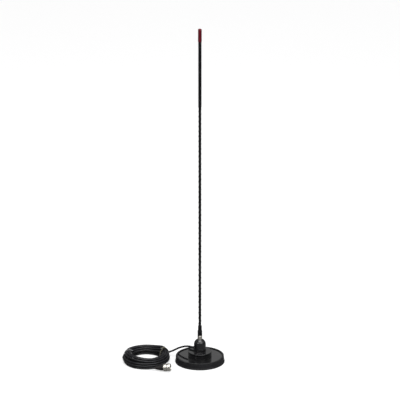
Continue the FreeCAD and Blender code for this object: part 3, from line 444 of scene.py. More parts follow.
recipes = {
    "boot_rubber": (makeRubber,),
    "soft_rubber": (makeRubber, (0.009, 0.009, 0.009), (0.019, 0.019, 0.019), 0.55, 0.1),
    "plug_boot_rubber": (makeRubber, (0.0085, 0.0072, 0.0072), (0.018, 0.016, 0.016), 0.46, 0.1),
    "gloss_black_steel": (makeGloss, glossLook["paint"], 0.07, 0.6, 0.07),
    "gloss_black_casting": (makeGloss, glossLook["paint"], 0.08, 0.3, 0.16),
    "gloss_black_moulding": (makeGloss, (0.0042, 0.0042, 0.0048), 0.15, 0.1, 0.08),
    "zinc_steel": (makeMetal, (0.62, 0.63, 0.66), (0.42, 0.41, 0.36), 0.34, 0.4, 0.5),
    "black_oxide_steel": (makeMetal, (0.06, 0.06, 0.065), (0.03, 0.028, 0.026), 0.42, 0.4),
    "nickel_plate": (makeMetal, (0.58, 0.56, 0.515), (0.36, 0.34, 0.3), 0.2),
    "silver_plate": (makeMetal, (0.88, 0.87, 0.84), (0.6, 0.57, 0.5), 0.18, 0.3),
    "aluminium_sleeve": (makeMetal, (0.78, 0.79, 0.8), (0.6, 0.6, 0.61), 0.32, 0.6),
    "brass": (makeMetal, (0.78, 0.57, 0.27), (0.45, 0.29, 0.13), 0.26),
    "tinned_brass": (makeMetal, (0.73, 0.71, 0.66), (0.55, 0.47, 0.3), 0.33, 0.3, 0.5),
    "copper_wire": (makeMetal, (0.86, 0.47, 0.3), (0.5, 0.22, 0.13), 0.27, 0.3),
    "enamelled_wire": (makeWound, (0.09, 0.02, 0.008), (0.42, 0.13, 0.05), 0.8),
    "ferrite": (makePlastic, (0.045, 0.045, 0.05), (0.085, 0.085, 0.09), 0.62, 9, 0.4, 0.5),
    "potting_resin": (makePlastic, (0.012, 0.012, 0.013), (0.03, 0.03, 0.033), 0.25, 8, 1.2, 0.3),
    "fibreglass": (makePlastic, (0.5, 0.47, 0.34), (0.72, 0.69, 0.55), 0.35, 5, 0.25, 0.3, 0.06),
    "insulator_plastic": (makePlastic, (0.76, 0.73, 0.66), (0.86, 0.84, 0.79), 0.35, 4, 0.3, 0.1),
    "cable_sheath": (
        makePlastic, (0.005, 0.005, 0.006), (0.012, 0.012, 0.0142), 0.36, 16, 0.4, 0.25, 1.0, 0.26
    ),
    "red_vinyl": (makePlastic, (0.08, 0.002, 0.007), (0.115, 0.006, 0.0125), 0.42, 7, 0.35, 0.25, 1.0, 0.2),
    "shrink_jacket": (makeJacket,),
    "tie_grey": (makeWoven, (0.05, 0.05, 0.052), (0.2, 0.2, 0.2)),
    "tie_olive": (makeWoven, (0.028, 0.026, 0.014), (0.1, 0.092, 0.052)),
}

finishes = {name: make(name, *values) for name, (make, *values) in recipes.items()}
for node, piece in frame["nodes"].items():
    piece.data.materials.clear()
    piece.data.materials.append(finishes[slotOf[node]])
print("finishes:", len(finishes))


# shapes

tiny = 1e-6
softestCorner = math.radians(8)


def roundCorners(outline, radius, steps=4):
    # replaces each corner of an outline of (radius, height) points with an arc
    smooth = []
    count = len(outline)
    for index, corner in enumerate(outline):
        before = Vector(outline[index - 1])
        here = Vector(corner)
        after = Vector(outline[(index + 1) % count])
        wayIn = here - before
        wayOut = after - here
        onAxis = here.x == 0 or wayIn.length < tiny or wayOut.length < tiny
        turn = 0 if onAxis else wayIn.angle(wayOut)
        if turn < softestCorner:
            smooth.append(tuple(here))
            continue
        reach = min(radius * math.tan(turn / 2), wayIn.length * 0.45, wayOut.length * 0.45)
        start = here - wayIn.normalized() * reach
        end = here + wayOut.normalized() * reach
        for step in range(steps + 1):
            share = step / steps
            spot = start * (1 - share) ** 2 + here * 2 * share * (1 - share) + end * share ** 2
            smooth.append(tuple(spot))
    return smooth


def lathe(name, outline, around=96, radius=0.25, lift=0.0, steps=4):
    # turns a closed outline about the vertical axis; heights start at lift, all in millimetres
    points = roundCorners(outline, radius, steps) if radius else list(outline)
    rings = []
    build = bmesh.new()
    for across, height in points:
        if across < tiny:
            rings.append([build.verts.new((0, 0, height + lift))])
        else:
            angles = [fullTurn * number / around for number in range(around)]
            spots = [(across * math.cos(a), across * math.sin(a), height + lift) for a in angles]
            rings.append([build.verts.new(spot) for spot in spots])
    for lower, upper in zip(rings, rings[1:] + rings[:1]):
        if len(lower) == 1 and len(upper) == 1:
            continue
        for number in range(around):
            corners = [lower[number % len(lower)], lower[(number + 1) % len(lower)]]
            corners += [upper[(number + 1) % len(upper)], upper[number % len(upper)]]
            build.faces.new(list(dict.fromkeys(corners)))
    bmesh.ops.recalc_face_normals(build, faces=build.faces)
    return meshFrom(build, name)


def block(name, size, bevel=0.3):
    # a box with bevelled edges, centred on the origin
    build = bmesh.new()
    bmesh.ops.create_cube(build, size=1.0)
    bmesh.ops.scale(build, vec=size, verts=build.verts)
    bmesh.ops.bevel(build, geom=build.edges[:], offset=bevel, segments=2, affect="EDGES", profile=0.6)
    return meshFrom(build, name)


def joined(name, meshes):
    build = bmesh.new()
    for mesh in meshes:
        build.from_mesh(mesh)
    return meshFrom(build, name)


def holder(mesh):
    piece = bpy.data.objects.new(mesh.name + "Holder", mesh)
    scene.collection.objects.link(piece)
    return piece


def baked(piece):
    # the evaluated shape as a plain mesh; the holder and its modifiers go
    bpy.context.view_layer.update()
    graph = bpy.context.evaluated_depsgraph_get()
    mesh = bpy.data.meshes.new_from_object(piece.evaluated_get(graph))
    piece.modifiers.clear()
    bpy.data.objects.remove(piece)
    return mesh


def cutWith(mesh, *cutters):
    piece = holder(mesh)
    tools = [holder(cutter) for cutter in cutters]
    for tool in tools:
        cut = piece.modifiers.new("cut", "BOOLEAN")
        cut.operation = "DIFFERENCE"
        cut.solver = "EXACT"
        cut.object = tool
    result = baked(piece)
    for tool in tools:
        bpy.data.objects.remove(tool)
    return result


def finishPiece(name, mesh, node, place=None, crease=34.0):
    # from millimetres to metres, into place, on the body of the part that it stands for
    mesh.name = name
    if place is not None:
        mesh.transform(place)
    mesh.transform(Matrix.Scale(mm, 4))
    mesh.materials.clear()
    mesh.materials.append(finishes[slotOf[node]])
    mesh.shade_smooth()
    mesh.set_sharp_from_angle(angle=math.radians(crease))
    piece = bpy.data.objects.new(name, mesh)
    scene.collection.objects.link(piece)
    even = piece.modifiers.new("evenShading", "WEIGHTED_NORMAL")
    even.keep_sharp = True
    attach(piece, bodyOf[node])
    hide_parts(node)
    return piece


# node trees for what repeats or winds

class Wiring:
    # a geometry node tree with named inputs
    def __init__(self, name, inputs):
        self.tree = bpy.data.node_groups.new(name, "GeometryNodeTree")
        face = self.tree.interface
        face.new_socket("Geometry", in_out="INPUT", socket_type="NodeSocketGeometry")
        for label, kind in inputs.items():
            face.new_socket(label, in_out="INPUT", socket_type="NodeSocket" + kind)
        face.new_socket("Geometry", in_out="OUTPUT", socket_type="NodeSocketGeometry")
        self.given = self.tree.nodes.new("NodeGroupInput").outputs
        self.end = self.tree.nodes.new("NodeGroupOutput").inputs["Geometry"]

    def add(self, kind, values=None, **settings):
        return wireNode(self.tree, kind, values, **settings)

    def math(self, how, first, second=0.0):
        return self.add("ShaderNodeMath", {0: first, 1: second}, operation=how).outputs[0]

    def times(self, first, second):
        return self.math("MULTIPLY", first, second)

    def ease(self, value, low, high):
        values = {"Value": value, "From Min": low, "From Max": high}
        return self.add("ShaderNodeMapRange", values, interpolation_type="SMOOTHSTEP").outputs["Result"]

    def finish(self, geometry):
        real = self.add("GeometryNodeRealizeInstances", {"Geometry": geometry})
        values = {"Geometry": real.outputs[0], "Material": self.given["Material"]}
        painted = self.add("GeometryNodeSetMaterial", values)
        self.tree.links.new(painted.outputs[0], self.end)
        return self.tree

    def turnsAt(self, height):
        # turns wound from Start up to a height, while the pitch goes from Foot Pitch to Head Pitch
        along = self.math("SUBTRACT", height, self.given["Start"])
        length = self.math("SUBTRACT", self.given["Stop"], self.given["Start"])
        footRate = self.math("DIVIDE", 1.0, self.given["Foot Pitch"])
        headRate = self.math("DIVIDE", 1.0, self.given["Head Pitch"])
        growth = self.math("DIVIDE", self.math("SUBTRACT", headRate, footRate), self.times(length, 2.0))
        steady = self.times(along, footRate)
        return self.math("ADD", steady, self.times(self.times(along, along), growth))


def windingTree():
    # raises a winding ridge, a thread or a knurl on a turned mesh, between two radii and two heights
    inputs = ["Start", "Stop", "Fade", "Foot Pitch", "Head Pitch", "Starts", "Hand", "Height", "Sharpness"]
    inputs += ["Least Radius", "Most Radius"]
    wires = Wiring("windingRidge", {**dict.fromkeys(inputs, "Float"), "Material": "Material"})
    given = wires.given
    place = wires.add("GeometryNodeInputPosition").outputs[0]
    parts = wires.add("ShaderNodeSeparateXYZ", {0: place}).outputs
    angle = wires.math("ARCTAN2", parts["Y"], parts["X"])
    around = wires.times(wires.times(angle, given["Hand"]), given["Starts"])
    phase = wires.math("ADD", around, wires.times(wires.turnsAt(parts["Z"]), fullTurn))
    wave = wires.math("ADD", wires.times(wires.math("COSINE", phase), 0.5), 0.5)
    ridge = wires.math("POWER", wave, given["Sharpness"])
    rise = wires.ease(parts["Z"], given["Start"], wires.math("ADD", given["Start"], given["Fade"]))
    fall = wires.ease(parts["Z"], given["Stop"], wires.math("SUBTRACT", given["Stop"], given["Fade"]))
    flat = wires.add("ShaderNodeCombineXYZ", {"X": parts["X"], "Y": parts["Y"]}).outputs[0]
    radius = wires.add("ShaderNodeVectorMath", {0: flat}, operation="LENGTH").outputs["Value"]
    outside = wires.math("GREATER_THAN", radius, given["Least Radius"])
    inside = wires.math("LESS_THAN", radius, given["Most Radius"])
    amount = wires.times(given["Height"], ridge)
    for mask in (rise, fall, outside, inside):
        amount = wires.times(amount, mask)
    outward = wires.add("ShaderNodeVectorMath", {0: flat}, operation="NORMALIZE").outputs["Vector"]
    shift = wires.add("ShaderNodeVectorMath", {0: outward, "Scale": amount}, operation="SCALE")
    values = {"Geometry": given["Geometry"], "Offset": shift.outputs["Vector"]}
    moved = wires.add("GeometryNodeSetPosition", values)
    return wires.finish(moved.outputs[0])


def wireTree():
    # one wire wound left-handed about the vertical axis
    inputs = ["Start", "Stop", "Foot Pitch", "Head Pitch", "Ring", "Wire Radius"]
    inputs = {**dict.fromkeys(inputs, "Float"), "Points": "Int", "Sides": "Int", "Material": "Material"}
    wires = Wiring("woundWire", inputs)
    given = wires.given
    line = wires.add("GeometryNodeMeshLine", {"Count": given["Points"]})
    index = wires.add("GeometryNodeInputIndex").outputs[0]
    share = wires.math("DIVIDE", index, wires.math("SUBTRACT", given["Points"], 1.0))
    length = wires.math("SUBTRACT", given["Stop"], given["Start"])
    height = wires.math("ADD", given["Start"], wires.times(share, length))
    angle = wires.times(wires.turnsAt(height), -fullTurn)
    across = wires.times(wires.math("COSINE", angle), given["Ring"])
    deep = wires.times(wires.math("SINE", angle), given["Ring"])
    spot = wires.add("ShaderNodeCombineXYZ", {"X": across, "Y": deep, "Z": height}).outputs[0]
    moved = wires.add("GeometryNodeSetPosition", {"Geometry": line.outputs["Mesh"], "Position": spot})
    curve = wires.add("GeometryNodeMeshToCurve", {"Mesh": moved.outputs[0]})
    values = {"Resolution": given["Sides"], "Radius": given["Wire Radius"]}
    section = wires.add("GeometryNodeCurvePrimitiveCircle", values).outputs["Curve"]
    values = {"Curve": curve.outputs[0], "Profile Curve": section, "Fill Caps": True}
    swept = wires.add("GeometryNodeCurveToMesh", values)
    return wires.finish(swept.outputs[0])


def ringTree():
    # copies of a part, evenly turned about the vertical axis
    inputs = {"Count": "Int", "First Angle": "Float", "Part": "Object", "Material": "Material"}
    wires = Wiring("ringOfParts", inputs)
    given = wires.given
    line = wires.add("GeometryNodeMeshLine", {"Count": given["Count"], "Offset": (0, 0, 0)})
    source = wires.add("GeometryNodeObjectInfo", {"Object": given["Part"]})
    index = wires.add("GeometryNodeInputIndex").outputs[0]
    step = wires.math("DIVIDE", fullTurn, given["Count"])
    angle = wires.math("ADD", wires.times(index, step), given["First Angle"])
    turn = wires.add("ShaderNodeCombineXYZ", {"Z": angle}).outputs[0]
    spin = wires.add("FunctionNodeEulerToRotation", {"Euler": turn}).outputs[0]
    values = {"Points": line.outputs["Mesh"], "Instance": source.outputs["Geometry"], "Rotation": spin}
    copies = wires.add("GeometryNodeInstanceOnPoints", values)
    return wires.finish(copies.outputs[0])


trees = {"winding": windingTree(), "wire": wireTree(), "ring": ringTree()}
print("node trees:", len(trees))


def runTree(kind, mesh, slot, **sizes):
    # sizes are named as the tree's inputs are, run together: footPitch sets Foot Pitch
    piece = holder(mesh)
    modifier = piece.modifiers.new(kind, "NODES")
    modifier.node_group = trees[kind]
    given = [item for item in trees[kind].interface.items_tree if item.in_out == "INPUT"]
    sockets = {item.name.replace(" ", "").lower(): item for item in given}
    for label, value in {**sizes, "material": finishes[slot]}.items():
        modifier[sockets[label.lower()].identifier] = value
    return baked(piece)


def ringOf(part, count, firstAngle, slot):
    source = holder(part)
    start = math.radians(firstAngle)
    blank = bpy.data.meshes.new("ringOfParts")
    result = runTree("ring", blank, slot, count=count, firstAngle=start, part=source)
    bpy.data.objects.remove(source)
    return result


# cable: the lead, the tied coil and the tail are one spline

cableSetup = {
    "thick": 5.0,
    "lead": [
        (-41.0, 25.0, 33.2),
        (-55.0, 31.0, 27.0),
        (-68.0, 37.5, 17.5),
        (-80.0, 44.5, 9.2),
        (-93.0, 51.0, 4.4),
        (-104.5, 56.0, 4.0),
    ],
    "tail": [(-188.0, -39.5, 2.6), (-178.5, -49.0, 2.6), (-166.0, -55.6, 2.6), (-149.0, -59.6, 2.7)],
    "plugStraight": 9.0,
    "exitRing": 21.23,
    "firstRing": 33.0,
    "coilCentre": (-142.6, 7.0),
    # where each turn lies across the bundle: distance from the coil's centre, height
    "lays": [
        (60.3, 7.2), (57.6, 11.8), (55.0, 16.4), (52.0, 21.0),
        (46.8, 21.0), (44.2, 16.4), (41.5, 11.8), (46.9, 11.8),
        (52.2, 11.8), (55.2, 7.2), (49.8, 7.2), (44.5, 7.2),
        (42.0, 2.6), (47.2, 2.6), (52.5, 2.6), (58.4, 2.6),
    ],
    "firstAngle": 63.0,
    "lastAngle": 5613.0,
    "step": 15.0,
    "changeStart": -25.0,
    "changeEnd": 35.0,
    "reach": (40.6, 61.8),
    "looseness": (1.1, 0.6),
    # where the upper turns spring up and lean out: bearing, half width, rise, lean
    "springs": [(30.0, 42.0, 5.5, 3.0), (185.0, 62.0, 5.0, 3.0), (238.0, 58.0, 5.0, -6.5)],
    # the whole bundle bellies out a little here: bearing, half width, how far
    "belly": (240.0, 66.0, 4.6),
    "ties": (178.0, 20.0),
    "seed": 7,
    # turns that come nearer than a diameter are eased apart, round after round
    "rounds": 240,
    "room": 0.06,
    "push": 0.3,
    "floor": 2.6,
    "strapLift": 1.1,
    "tieHold": 6.0,
    "tieFade": 26.0,
    "tieSlack": 0.25,
    "waves": (0.83, 0.71),
    # the coil's strands lie between these distances from its centre
    "band": (30.0, 75.0),
    "even": 0.06,
}


def alongGland(distance):
    turn = math.radians(glandBearing)
    return Vector((distance * math.cos(turn), distance * math.sin(turn), glandHeight))


def plugPoint(along):
    return plugPlace @ Vector((0, 0, along))


def ease(value):
    value = min(1.0, max(0.0, value))
    return value * value * (3 - 2 * value)


def offBearing(angle, bearing):
    return abs((angle - bearing + 180) % 360 - 180)


def tieNearness(angle):
    off = min(offBearing(angle, tie) for tie in cableSetup["ties"])
    return 1 - ease((off - cableSetup["tieHold"]) / cableSetup["tieFade"])


def looseTurns(angles):
    # distance and height of the cable at each angle, as hand-wound turns lie
    lays = cableSetup["lays"]
    chance = np.random.default_rng(cableSetup["seed"])
    swing = chance.uniform(0, fullTurn, (len(lays) + 1, 3, 2))
    across = np.zeros(len(angles))
    height = np.zeros(len(angles))
    looseAcross, looseUp = cableSetup["looseness"]
    waveAcross, waveUp = cableSetup["waves"]
    for number, angle in enumerate(angles):
        lap = int((angle - cableSetup["changeStart"]) // 360)
        past = angle - 360 * lap - cableSetup["changeStart"]
        share = ease(past / (cableSetup["changeEnd"] - cableSetup["changeStart"]))
        before = lays[max(0, lap - 1)]
        after = lays[min(lap, len(lays) - 1)]
        radius = before[0] * (1 - share) + after[0] * share
        level = before[1] * (1 - share) + after[1] * share
        turn = math.radians(angle)
        slack = 1 - (1 - cableSetup["tieSlack"]) * tieNearness(angle)
        for order in range(3):
            wave = math.sin(turn * (order + 1) * waveAcross + swing[lap, order, 0])
            radius += looseAcross * slack * wave / (order + 1.2)
            wave = math.sin(turn * (order + 1) * waveUp + swing[lap, order, 1])
            level += looseUp * slack * wave / (order + 1.2)
        upper = ease((level - 8) / 8)
        for bearing, halfWidth, rise, lean in cableSetup["springs"]:
            lift = ease(1 - offBearing(angle, bearing) / halfWidth) * upper
            radius += lean * lift
            level += rise * lift
        across[number] = radius
        height[number] = level
    return across, height


def easedApart(angles, across, height):
    floors = np.array(
        [cableSetup["floor"] + cableSetup["strapLift"] * tieNearness(angle) for angle in angles]
    )
    perTurn = int(360 / cableSetup["step"])
    for _ in range(cableSetup["rounds"]):
        pushAcross = np.zeros(len(angles))
        pushUp = np.zeros(len(angles))
        for start in range(perTurn):
            picked = np.arange(start, len(angles), perTurn)
            apartAcross = across[picked][:, None] - across[picked][None, :]
            apartUp = height[picked][:, None] - height[picked][None, :]
            apart = np.hypot(apartAcross, apartUp) + np.eye(len(picked)) * 1e3
            short = np.clip(cableSetup["thick"] + cableSetup["room"] - apart, 0, None) * cableSetup["push"]
            pushAcross[picked] += (short * apartAcross / apart).sum(axis=1)
            pushUp[picked] += (short * apartUp / apart).sum(axis=1)
        across = np.clip(across + pushAcross, *cableSetup["reach"])
        height = np.maximum(height + pushUp, floors)
        smoothAcross = across.copy()
        smoothAcross[1:-1] += cableSetup["even"] * (across[:-2] + across[2:] - 2 * across[1:-1])
        across = smoothAcross
    return across, height


def coilPoints():
    angles = np.arange(cableSetup["firstAngle"], cableSetup["lastAngle"] + 1, cableSetup["step"])
    across, height = easedApart(angles, *looseTurns(angles))
    bearing, halfWidth, reach = cableSetup["belly"]
    across += [reach * ease(1 - offBearing(angle, bearing) / halfWidth) for angle in angles]
    middleX, middleY = cableSetup["coilCentre"]
    # a quadratic spline cuts inside its control polygon by this much
    widen = 2 / (1 + math.cos(math.radians(cableSetup["step"])))
    return [
        Vector((middleX + r * widen * math.cos(t), middleY + r * widen * math.sin(t), z))
        for r, t, z in zip(across, np.radians(angles), height)
    ]


def addCable():
    exitPoint = alongGland(cableSetup["exitRing"])
    plugEnd = frame["nodes"]["plug_cable_end"].data.vertices
    rearAlong = min((plugPlace.inverted() @ (vertex.co / mm)).z for vertex in plugEnd)
    points = [exitPoint, alongGland(cableSetup["firstRing"])]
    points += [Vector(point) for point in cableSetup["lead"]]
    points += coilPoints()
    points += [Vector(point) for point in cableSetup["tail"]]
    points += [plugPoint(rearAlong - cableSetup["plugStraight"]), plugPoint(rearAlong)]
    data = bpy.data.curves.new("coaxCable", "CURVE")
    data.dimensions = "3D"
    spline = data.splines.new("NURBS")
    spline.points.add(len(points) - 1)
    for target, point in zip(spline.points, points):
        target.co = (*(point * mm), 1)
    spline.use_endpoint_u = True
    spline.order_u = 3
    spline.resolution_u = 2
    data.materials.append(finishes["cable_sheath"])
    cable = bpy.data.objects.new("coaxCable", data)
    scene.collection.objects.link(cable)
    bpy.context.view_layer.update()
    line = bpy.data.meshes.new_from_object(cable.evaluated_get(bpy.context.evaluated_depsgraph_get()))
    middle = np.array([vertex.co[:] for vertex in line.vertices]) / mm
    data.bevel_depth = cableSetup["thick"] / 2 * mm
    data.bevel_resolution = 3
    data.use_fill_caps = True
    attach(cable, bodyOf["coax_coil"])
    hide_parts("coax_lead", "coax_coil", "coax_tail")
    return cable, middle, exitPoint


cable, cableLine, cableExit = addCable()


# ties: straps drawn snug round the strands that they hold

tieSetup = {
    "width": 4.6,
    "thick": 0.9,
    "snug": 0.12,
    "floor": 0.1,
    "steps": 120,
    "samples": (-2.4, 0.0, 2.4),
    "samplesAt": 52.0,
    "lock": (5.6, 6.2, 3.0),
    "end": (7.5, 4.4, 0.9),
    "endPlace": (-4.8, 0.0, 0.9),
    "endTilt": 24.0,
}


def hullOf(points):
    # the convex outline round a set of points
    ordered = sorted({(round(x, 4), round(y, 4)) for x, y in points})
    chains = []
    for run in (ordered, ordered[::-1]):
        chain = []
        for point in run:
            while len(chain) > 1:
                (ax, ay), (bx, by) = chain[-2], chain[-1]
                if (bx - ax) * (point[1] - ay) - (by - ay) * (point[0] - ax) > 0:
                    break
                chain.pop()
            chain.append(point)
        chains += chain[:-1]
    return chains


def strandCentres(angle):
    # where the cable crosses the upright half plane at an angle about the coil's centre
    turn = math.radians(angle)
    middle = np.array([*cableSetup["coilCentre"], 0.0])
    outward = np.array([math.cos(turn), math.sin(turn), 0.0])
    sideways = np.array([-math.sin(turn), math.cos(turn), 0.0])
    away = cableLine - middle
    off = away @ sideways
    reach = away @ outward
    low, high = cableSetup["band"]
    crossings = np.nonzero((off[:-1] * off[1:] <= 0) & (reach[:-1] > low) & (reach[:-1] < high))[0]
    found = []
    for index in crossings:
        share = off[index] / (off[index] - off[index + 1] + 1e-12)
        out = reach[index] * (1 - share) + reach[index + 1] * share
        level = away[index, 2] * (1 - share) + away[index + 1, 2] * share
        found.append((float(out), float(level)))
    return found


def evenly(loop, count):
    # an even walk round a closed outline
    path = np.array(loop + loop[:1])
    lengths = np.r_[0, np.cumsum(np.linalg.norm(np.diff(path, axis=0), axis=1))]
    spots = np.linspace(0, lengths[-1], count, endpoint=False)
    return np.column_stack([np.interp(spots, lengths, path[:, axis]) for axis in (0, 1)])


def addTie(name, node, angle):
    circle = [(math.cos(a), math.sin(a)) for a in np.linspace(0, fullTurn, 24, endpoint=False)]
    centres = []
    for offset in tieSetup["samples"]:
        centres += strandCentres(angle + math.degrees(offset / tieSetup["samplesAt"]))
    inner = cableSetup["thick"] / 2 + tieSetup["snug"]
    held = [(x + inner * cx, y + inner * cy) for x, y in centres for cx, cy in circle]
    outline = evenly(hullOf(held), tieSetup["steps"])
    ahead = np.roll(outline, -1, axis=0) - np.roll(outline, 1, axis=0)
    normal = np.column_stack([ahead[:, 1], -ahead[:, 0]])
    normal /= np.linalg.norm(normal, axis=1)[:, None]
    # a rounded strap section, walked round the outline
    half = tieSetup["width"] / 2
    thick = tieSetup["thick"]
    section = [(-half, 0.1), (-half, thick - 0.25), (-half + 0.3, thick), (half - 0.3, thick)]
    section += [(half, thick - 0.25), (half, 0.1), (half - 0.3, 0.0), (-half + 0.3, 0.0)]
    build = bmesh.new()
    rings = []
    for spot, side in zip(outline, normal):
        ring = []
        for along, out in section:
            reach, level = spot + side * out
            ring.append(build.verts.new((reach, along, max(level, tieSetup["floor"]))))
        rings.append(ring)
    for index, ring in enumerate(rings):
        following = rings[(index + 1) % len(rings)]
        for number in range(len(section)):
            other = (number + 1) % len(section)
            build.faces.new([ring[number], ring[other], following[other], following[number]])
    bmesh.ops.recalc_face_normals(build, faces=build.faces)
    strap = meshFrom(build, name)
    # the lock stands on the inner upper side, with the cut end of the strap beside it
    highest = max(range(len(outline)), key=lambda i: outline[i][1] - 0.4 * outline[i][0])
    spot = outline[highest]
    side = normal[highest]
    lean = math.atan2(-side[0], side[1])
    lock = block("tieLock", tieSetup["lock"], 0.5)
    stand = tieSetup["lock"][2] / 2
    place = Matrix.Translation((spot[0] + side[0] * stand, 0, spot[1] + side[1] * stand))
    place = place @ Matrix.Rotation(-lean, 4, "Y")
    lock.transform(place)
    end = block("tieEnd", tieSetup["end"], 0.2)
    tilt = Matrix.Rotation(math.radians(tieSetup["endTilt"]), 4, "Y")
    end.transform(place @ Matrix.Translation(tieSetup["endPlace"]) @ tilt)
    whole = joined(name, [strap, lock, end])
    middleX, middleY = cableSetup["coilCentre"]
    turn = Matrix.Translation((middleX, middleY, 0)) @ Matrix.Rotation(math.radians(angle), 4, "Z")
    return finishPiece(name, whole, node, turn)


leftTie = addTie("leftTie", "coil_tie_left", cableSetup["ties"][0])
rightTie = addTie("rightTie", "coil_tie_right", cableSetup["ties"][1])
print("ties: strands held", [len(strandCentres(angle)) for angle in cableSetup["ties"]])


# base: rubber boot, flange and the lower half of the dome

def runOf(radius, low, high, step):
    # points up or down a straight wall, close enough together for a thread or a ridge
    count = max(1, round(abs(high - low) / step))
    return [(radius, low + (high - low) * number / count) for number in range(count + 1)]


def rod(name, radius, length, around=32):
    return lathe(name, [(0, 0), (radius, 0), (radius, length), (0, length)], around, 0)


def onto(distance, height, degrees):
    # a place on a radius of the dome, with the piece's own height pointing outwards
    turn = Matrix.Rotation(math.radians(degrees), 4, "Z")
    return turn @ Matrix.Translation((distance, 0, height)) @ Matrix.Rotation(math.pi / 2, 4, "Y")


bootSetup = {
    "lip": 66.0,
    "lipHeight": 3.0,
    "wallFoot": 64.7,
    "crown": 64.2,
    "mouth": 59.2,
    "inside": 61.03,
    "web": 1.2,
    "overPlate": 15.53,
    "round": 1.3,
    # a fine seam and a shallow groove round the wall, each from its foot to its top
    "seam": (8.8, 8.95, 9.1),
    "groove": (13.4, 13.9, 14.3, 14.8),
    "treads": (14.0, 26.0, 38.0, 50.0),
    "treadDepth": 0.45,
}


def addBoot():
    size = SimpleNamespace(**bootSetup)
    top = topOf("rubber_boot")
    outline = [(0, 0.2)]
    deep = 0.2 + size.treadDepth
    for ring in size.treads:
        outline += [(ring, 0.2), (ring + 0.5, deep), (ring + 2.5, deep), (ring + 3, 0.2)]
    outline += [(size.lip - 3, 0.2), (size.lip - 2.2, 0), (size.lip, 0), (size.lip, size.lipHeight)]
    outline += [(size.wallFoot + 0.25, size.lipHeight + 1.0), (size.wallFoot, size.lipHeight + 1.7)]
    outline += [(size.wallFoot + out, height) for out, height in zip((-0.2, -0.12, -0.2), size.seam)]
    outline += [(size.crown + out, height) for out, height in zip((0.05, -0.3, -0.3, 0.0), size.groove)]
    outline += [(size.crown, top), (size.mouth, top), (size.mouth, size.overPlate)]
    outline += [(size.inside, size.overPlate), (size.inside, size.web), (0, size.web)]
    mesh = lathe("boot", outline, 192, size.round, 0, 6)
    return finishPiece("rubberBoot", mesh, "rubber_boot", None, 48)


flangeSetup = {
    "bolt": 3.03,
    "hub": 12.0,
    "inside": 28.8,
    "outside": 31.4,
    "height": 14.0,
    "underTop": 11.0,
    "boltDepth": 10.0,
    "round": 1.2,
    "ribs": 6,
    "ribThick": 2.0,
    "landing": 17.4,
}


def addFlange():
    size = SimpleNamespace(**flangeSetup)
    foot = floorOf("mount_flange")
    outline = [(size.bolt, 0), (size.hub, 0), (size.hub, size.underTop), (size.inside, size.underTop)]
    outline += [(size.inside, 0), (size.outside, 0), (size.outside, size.height)]
    outline += [(size.landing + 0.7, size.height), (size.landing + 0.35, size.height - 0.3)]
    outline += [
        (size.landing, size.height), (0, size.height), (0, size.boltDepth), (size.bolt, size.boltDepth)
    ]
    body = lathe("flange", outline, 144, size.round, foot, 6)
    rib = block("rib", (size.inside - size.hub + 1.6, size.ribThick, size.underTop + 1), 0.3)
    middle = ((size.inside + size.hub) / 2, 0, foot + (size.underTop + 1) / 2 + 0.4)
    rib.transform(Matrix.Translation(middle))
    ribs = ringOf(rib, size.ribs, 0.0, slotOf["mount_flange"])
    return finishPiece("mountFlange", joined("flange", [body, ribs]), "mount_flange")


domeSetup = {
    "radius": 16.0,
    "baseRadius": 16.2,
    "baseHeight": 9.1,
    "registerRadius": 12.97,
    "registerBore": 10.8,
    "registerHeight": 3.6,
    "floor": 2.0,
    "wall": 3.0,
    "seal": 0.7,
    "height": 24.6,
    "spring": 10.025,
    "crown": 6.6,
    "neck": 6.03,
    "bore": 7.63,
    "boss": 9.6,
    "bossFoot": 8.53,
    "shoulder": 18.93,
    "glandHole": 3.33,
    "screwAngle": 15.0,
    "screwHeight": 1.9,
    "screwRadius": 1.25,
    "screwLength": 2.8,
    "screws": 3,
    "arcSteps": 22,
}


def addDomeBase():
    size = SimpleNamespace(**domeSetup)
    shelf = size.baseHeight
    fit = size.registerRadius
    groove = shelf + size.registerHeight - size.seal * 1.5
    outline = [(0, 0), (size.baseRadius, 0), (size.baseRadius, shelf), (fit, shelf), (fit, groove)]
    grooveTop = groove + size.seal * 1.2
    rim = shelf + size.registerHeight
    bore = size.registerBore
    outline += [(fit - size.seal, groove), (fit - size.seal, grooveTop), (fit, grooveTop), (fit, rim)]
    outline += [(bore, rim), (bore, size.floor), (0, size.floor)]
    body = lathe("domeBase", outline, 128, 0.35, floorOf("dome_base"))
    drill = rod("drill", size.glandHole, size.baseRadius * 2, 48)
    drill.transform(onto(0, glandHeight, glandBearing))
    return finishPiece("domeBase", cutWith(body, drill), "dome_base")


